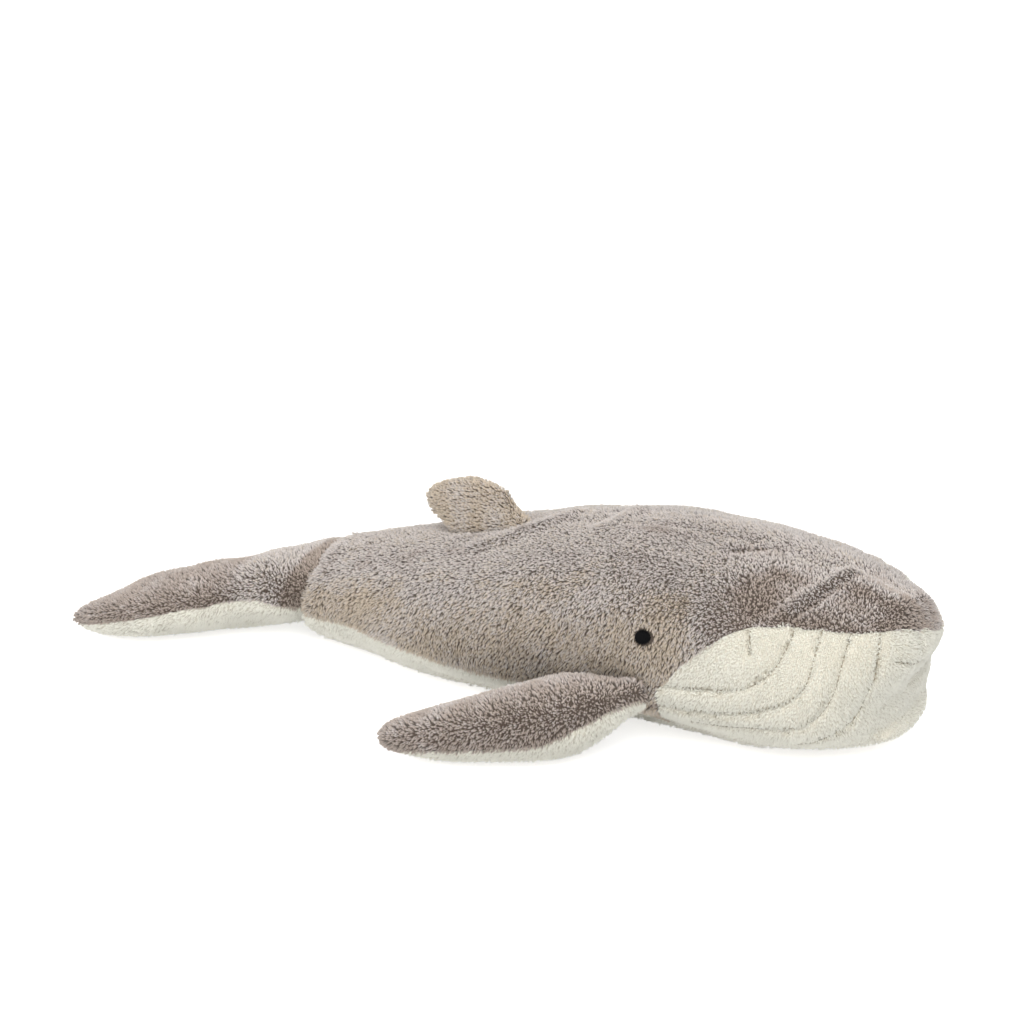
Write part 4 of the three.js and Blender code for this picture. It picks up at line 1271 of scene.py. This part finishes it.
def addStitches(name, lines, skin, spec):
    shape, faces = takeShape(startModel(bpy.ops.mesh.primitive_uv_sphere_add, segments=6, ring_count=5, radius=1))
    tree = treeOf(skin.data)
    stitches = []
    for line in lines:
        run = np.concatenate([[0], np.cumsum(np.linalg.norm(np.diff(line, axis=0), axis=1))])
        for at in np.arange(0, run[-1] - spec["long"] * mm, (spec["long"] + spec["gap"]) * mm):
            ends = []
            for place in (at, at + spec["long"] * mm):
                start = np.array([np.interp(place, run, line[:, k]) for k in range(3)])
                ahead, share, high = spec["inside"]
                inward = unit(np.array([min(start[0], ahead), share * start[1], high]) - start)
                hit = tree.ray_cast(Vector(start - inward * spec["startOut"] * mm), Vector(inward))
                ends.append((np.array(hit[0]), -inward))
            (a, out), (b, _) = ends
            axis = unit(b - a)
            across = unit(np.cross(axis, out))
            rise = np.cross(across, axis)
            middle = (a + b) / 2 + rise * spec["above"] * mm
            stitches.append((middle + shape[:, :1] * across * spec["radius"] * mm
                             + shape[:, 1:2] * rise * spec["radius"] * mm + shape[:, 2:] * (b - a) / 2, faces))
    piece = joinShapes(name, stitches)
    faceOutward(piece)
    dress(piece, seamThread, "body")


addStitches("throat_stitches", seamLines, bodyCage, stitchSettings)
addEye("eye_right_stitches", -1, "eye_right", bodyCage)
addEye("eye_left_stitches", 1, "eye_left", bodyCage)
bpy.data.objects.remove(bodyCage, do_unlink=True)
print("eyes made")

# Floor and light: plain, pale and soft
stageSettings = {
    "floorSize": 8, "floorColour": (240, 240, 240), "floorGlow": 0.62, "floorLight": 0.2,
    "key": {"place": (1.1, -1.5, 2.4), "size": 2.2, "power": 69},
    "fill": {"place": (-1.6, -1.8, 1.4), "size": 2.2, "power": 23},
    "back": {"place": (-1.0, 1.9, 1.7), "size": 2.2, "power": 15},
    "sky": 0.69,
}


def addStage(spec):
    floor = startModel(bpy.ops.mesh.primitive_plane_add, size=spec["floorSize"])
    floor.name = "floor"
    material, start, shader = newMaterial("pale floor")
    matte = {"Roughness": 1, "Specular IOR Level": 0, "Emission Strength": 1}
    setShine(shader, {"Base Color": rgba(spec["floorColour"]), **matte})
    seen = start.node("ShaderNodeLightPath", {}, {}, out=0)
    glow = mixColours(start, seen, (spec["floorLight"],) * 3 + (1,), (spec["floorGlow"],) * 3 + (1,))
    plug(glow, shader, "Emission Color")
    floor.data.materials.append(material)
    for name in ("key", "fill", "back"):
        lamp = spec[name]
        data = bpy.data.lights.new(name, "AREA")
        data.size = lamp["size"]
        data.energy = lamp["power"]
        light = bpy.data.objects.new(name, data)
        scene.collection.objects.link(light)
        aim = (-Vector(lamp["place"])).to_track_quat("-Z", "Y")
        light.matrix_world = Matrix.Translation(lamp["place"]) @ aim.to_matrix().to_4x4()
    world = bpy.data.worlds.new("studio")
    scene.world = world
    world.use_nodes = True
    tree = world.node_tree
    tree.nodes.clear()
    air = Wire(tree)
    seen = air.node("ShaderNodeLightPath", {}, {}, out=0)
    strength = seen * (1 - spec["sky"]) + spec["sky"]
    back = air.node("ShaderNodeBackground", {}, {"Color": (1, 1, 1, 1), "Strength": strength})
    output = tree.nodes.new("ShaderNodeOutputWorld")
    tree.links.new(back.socket, output.inputs["Surface"])


addStage(stageSettings)
print("floor and lights made")
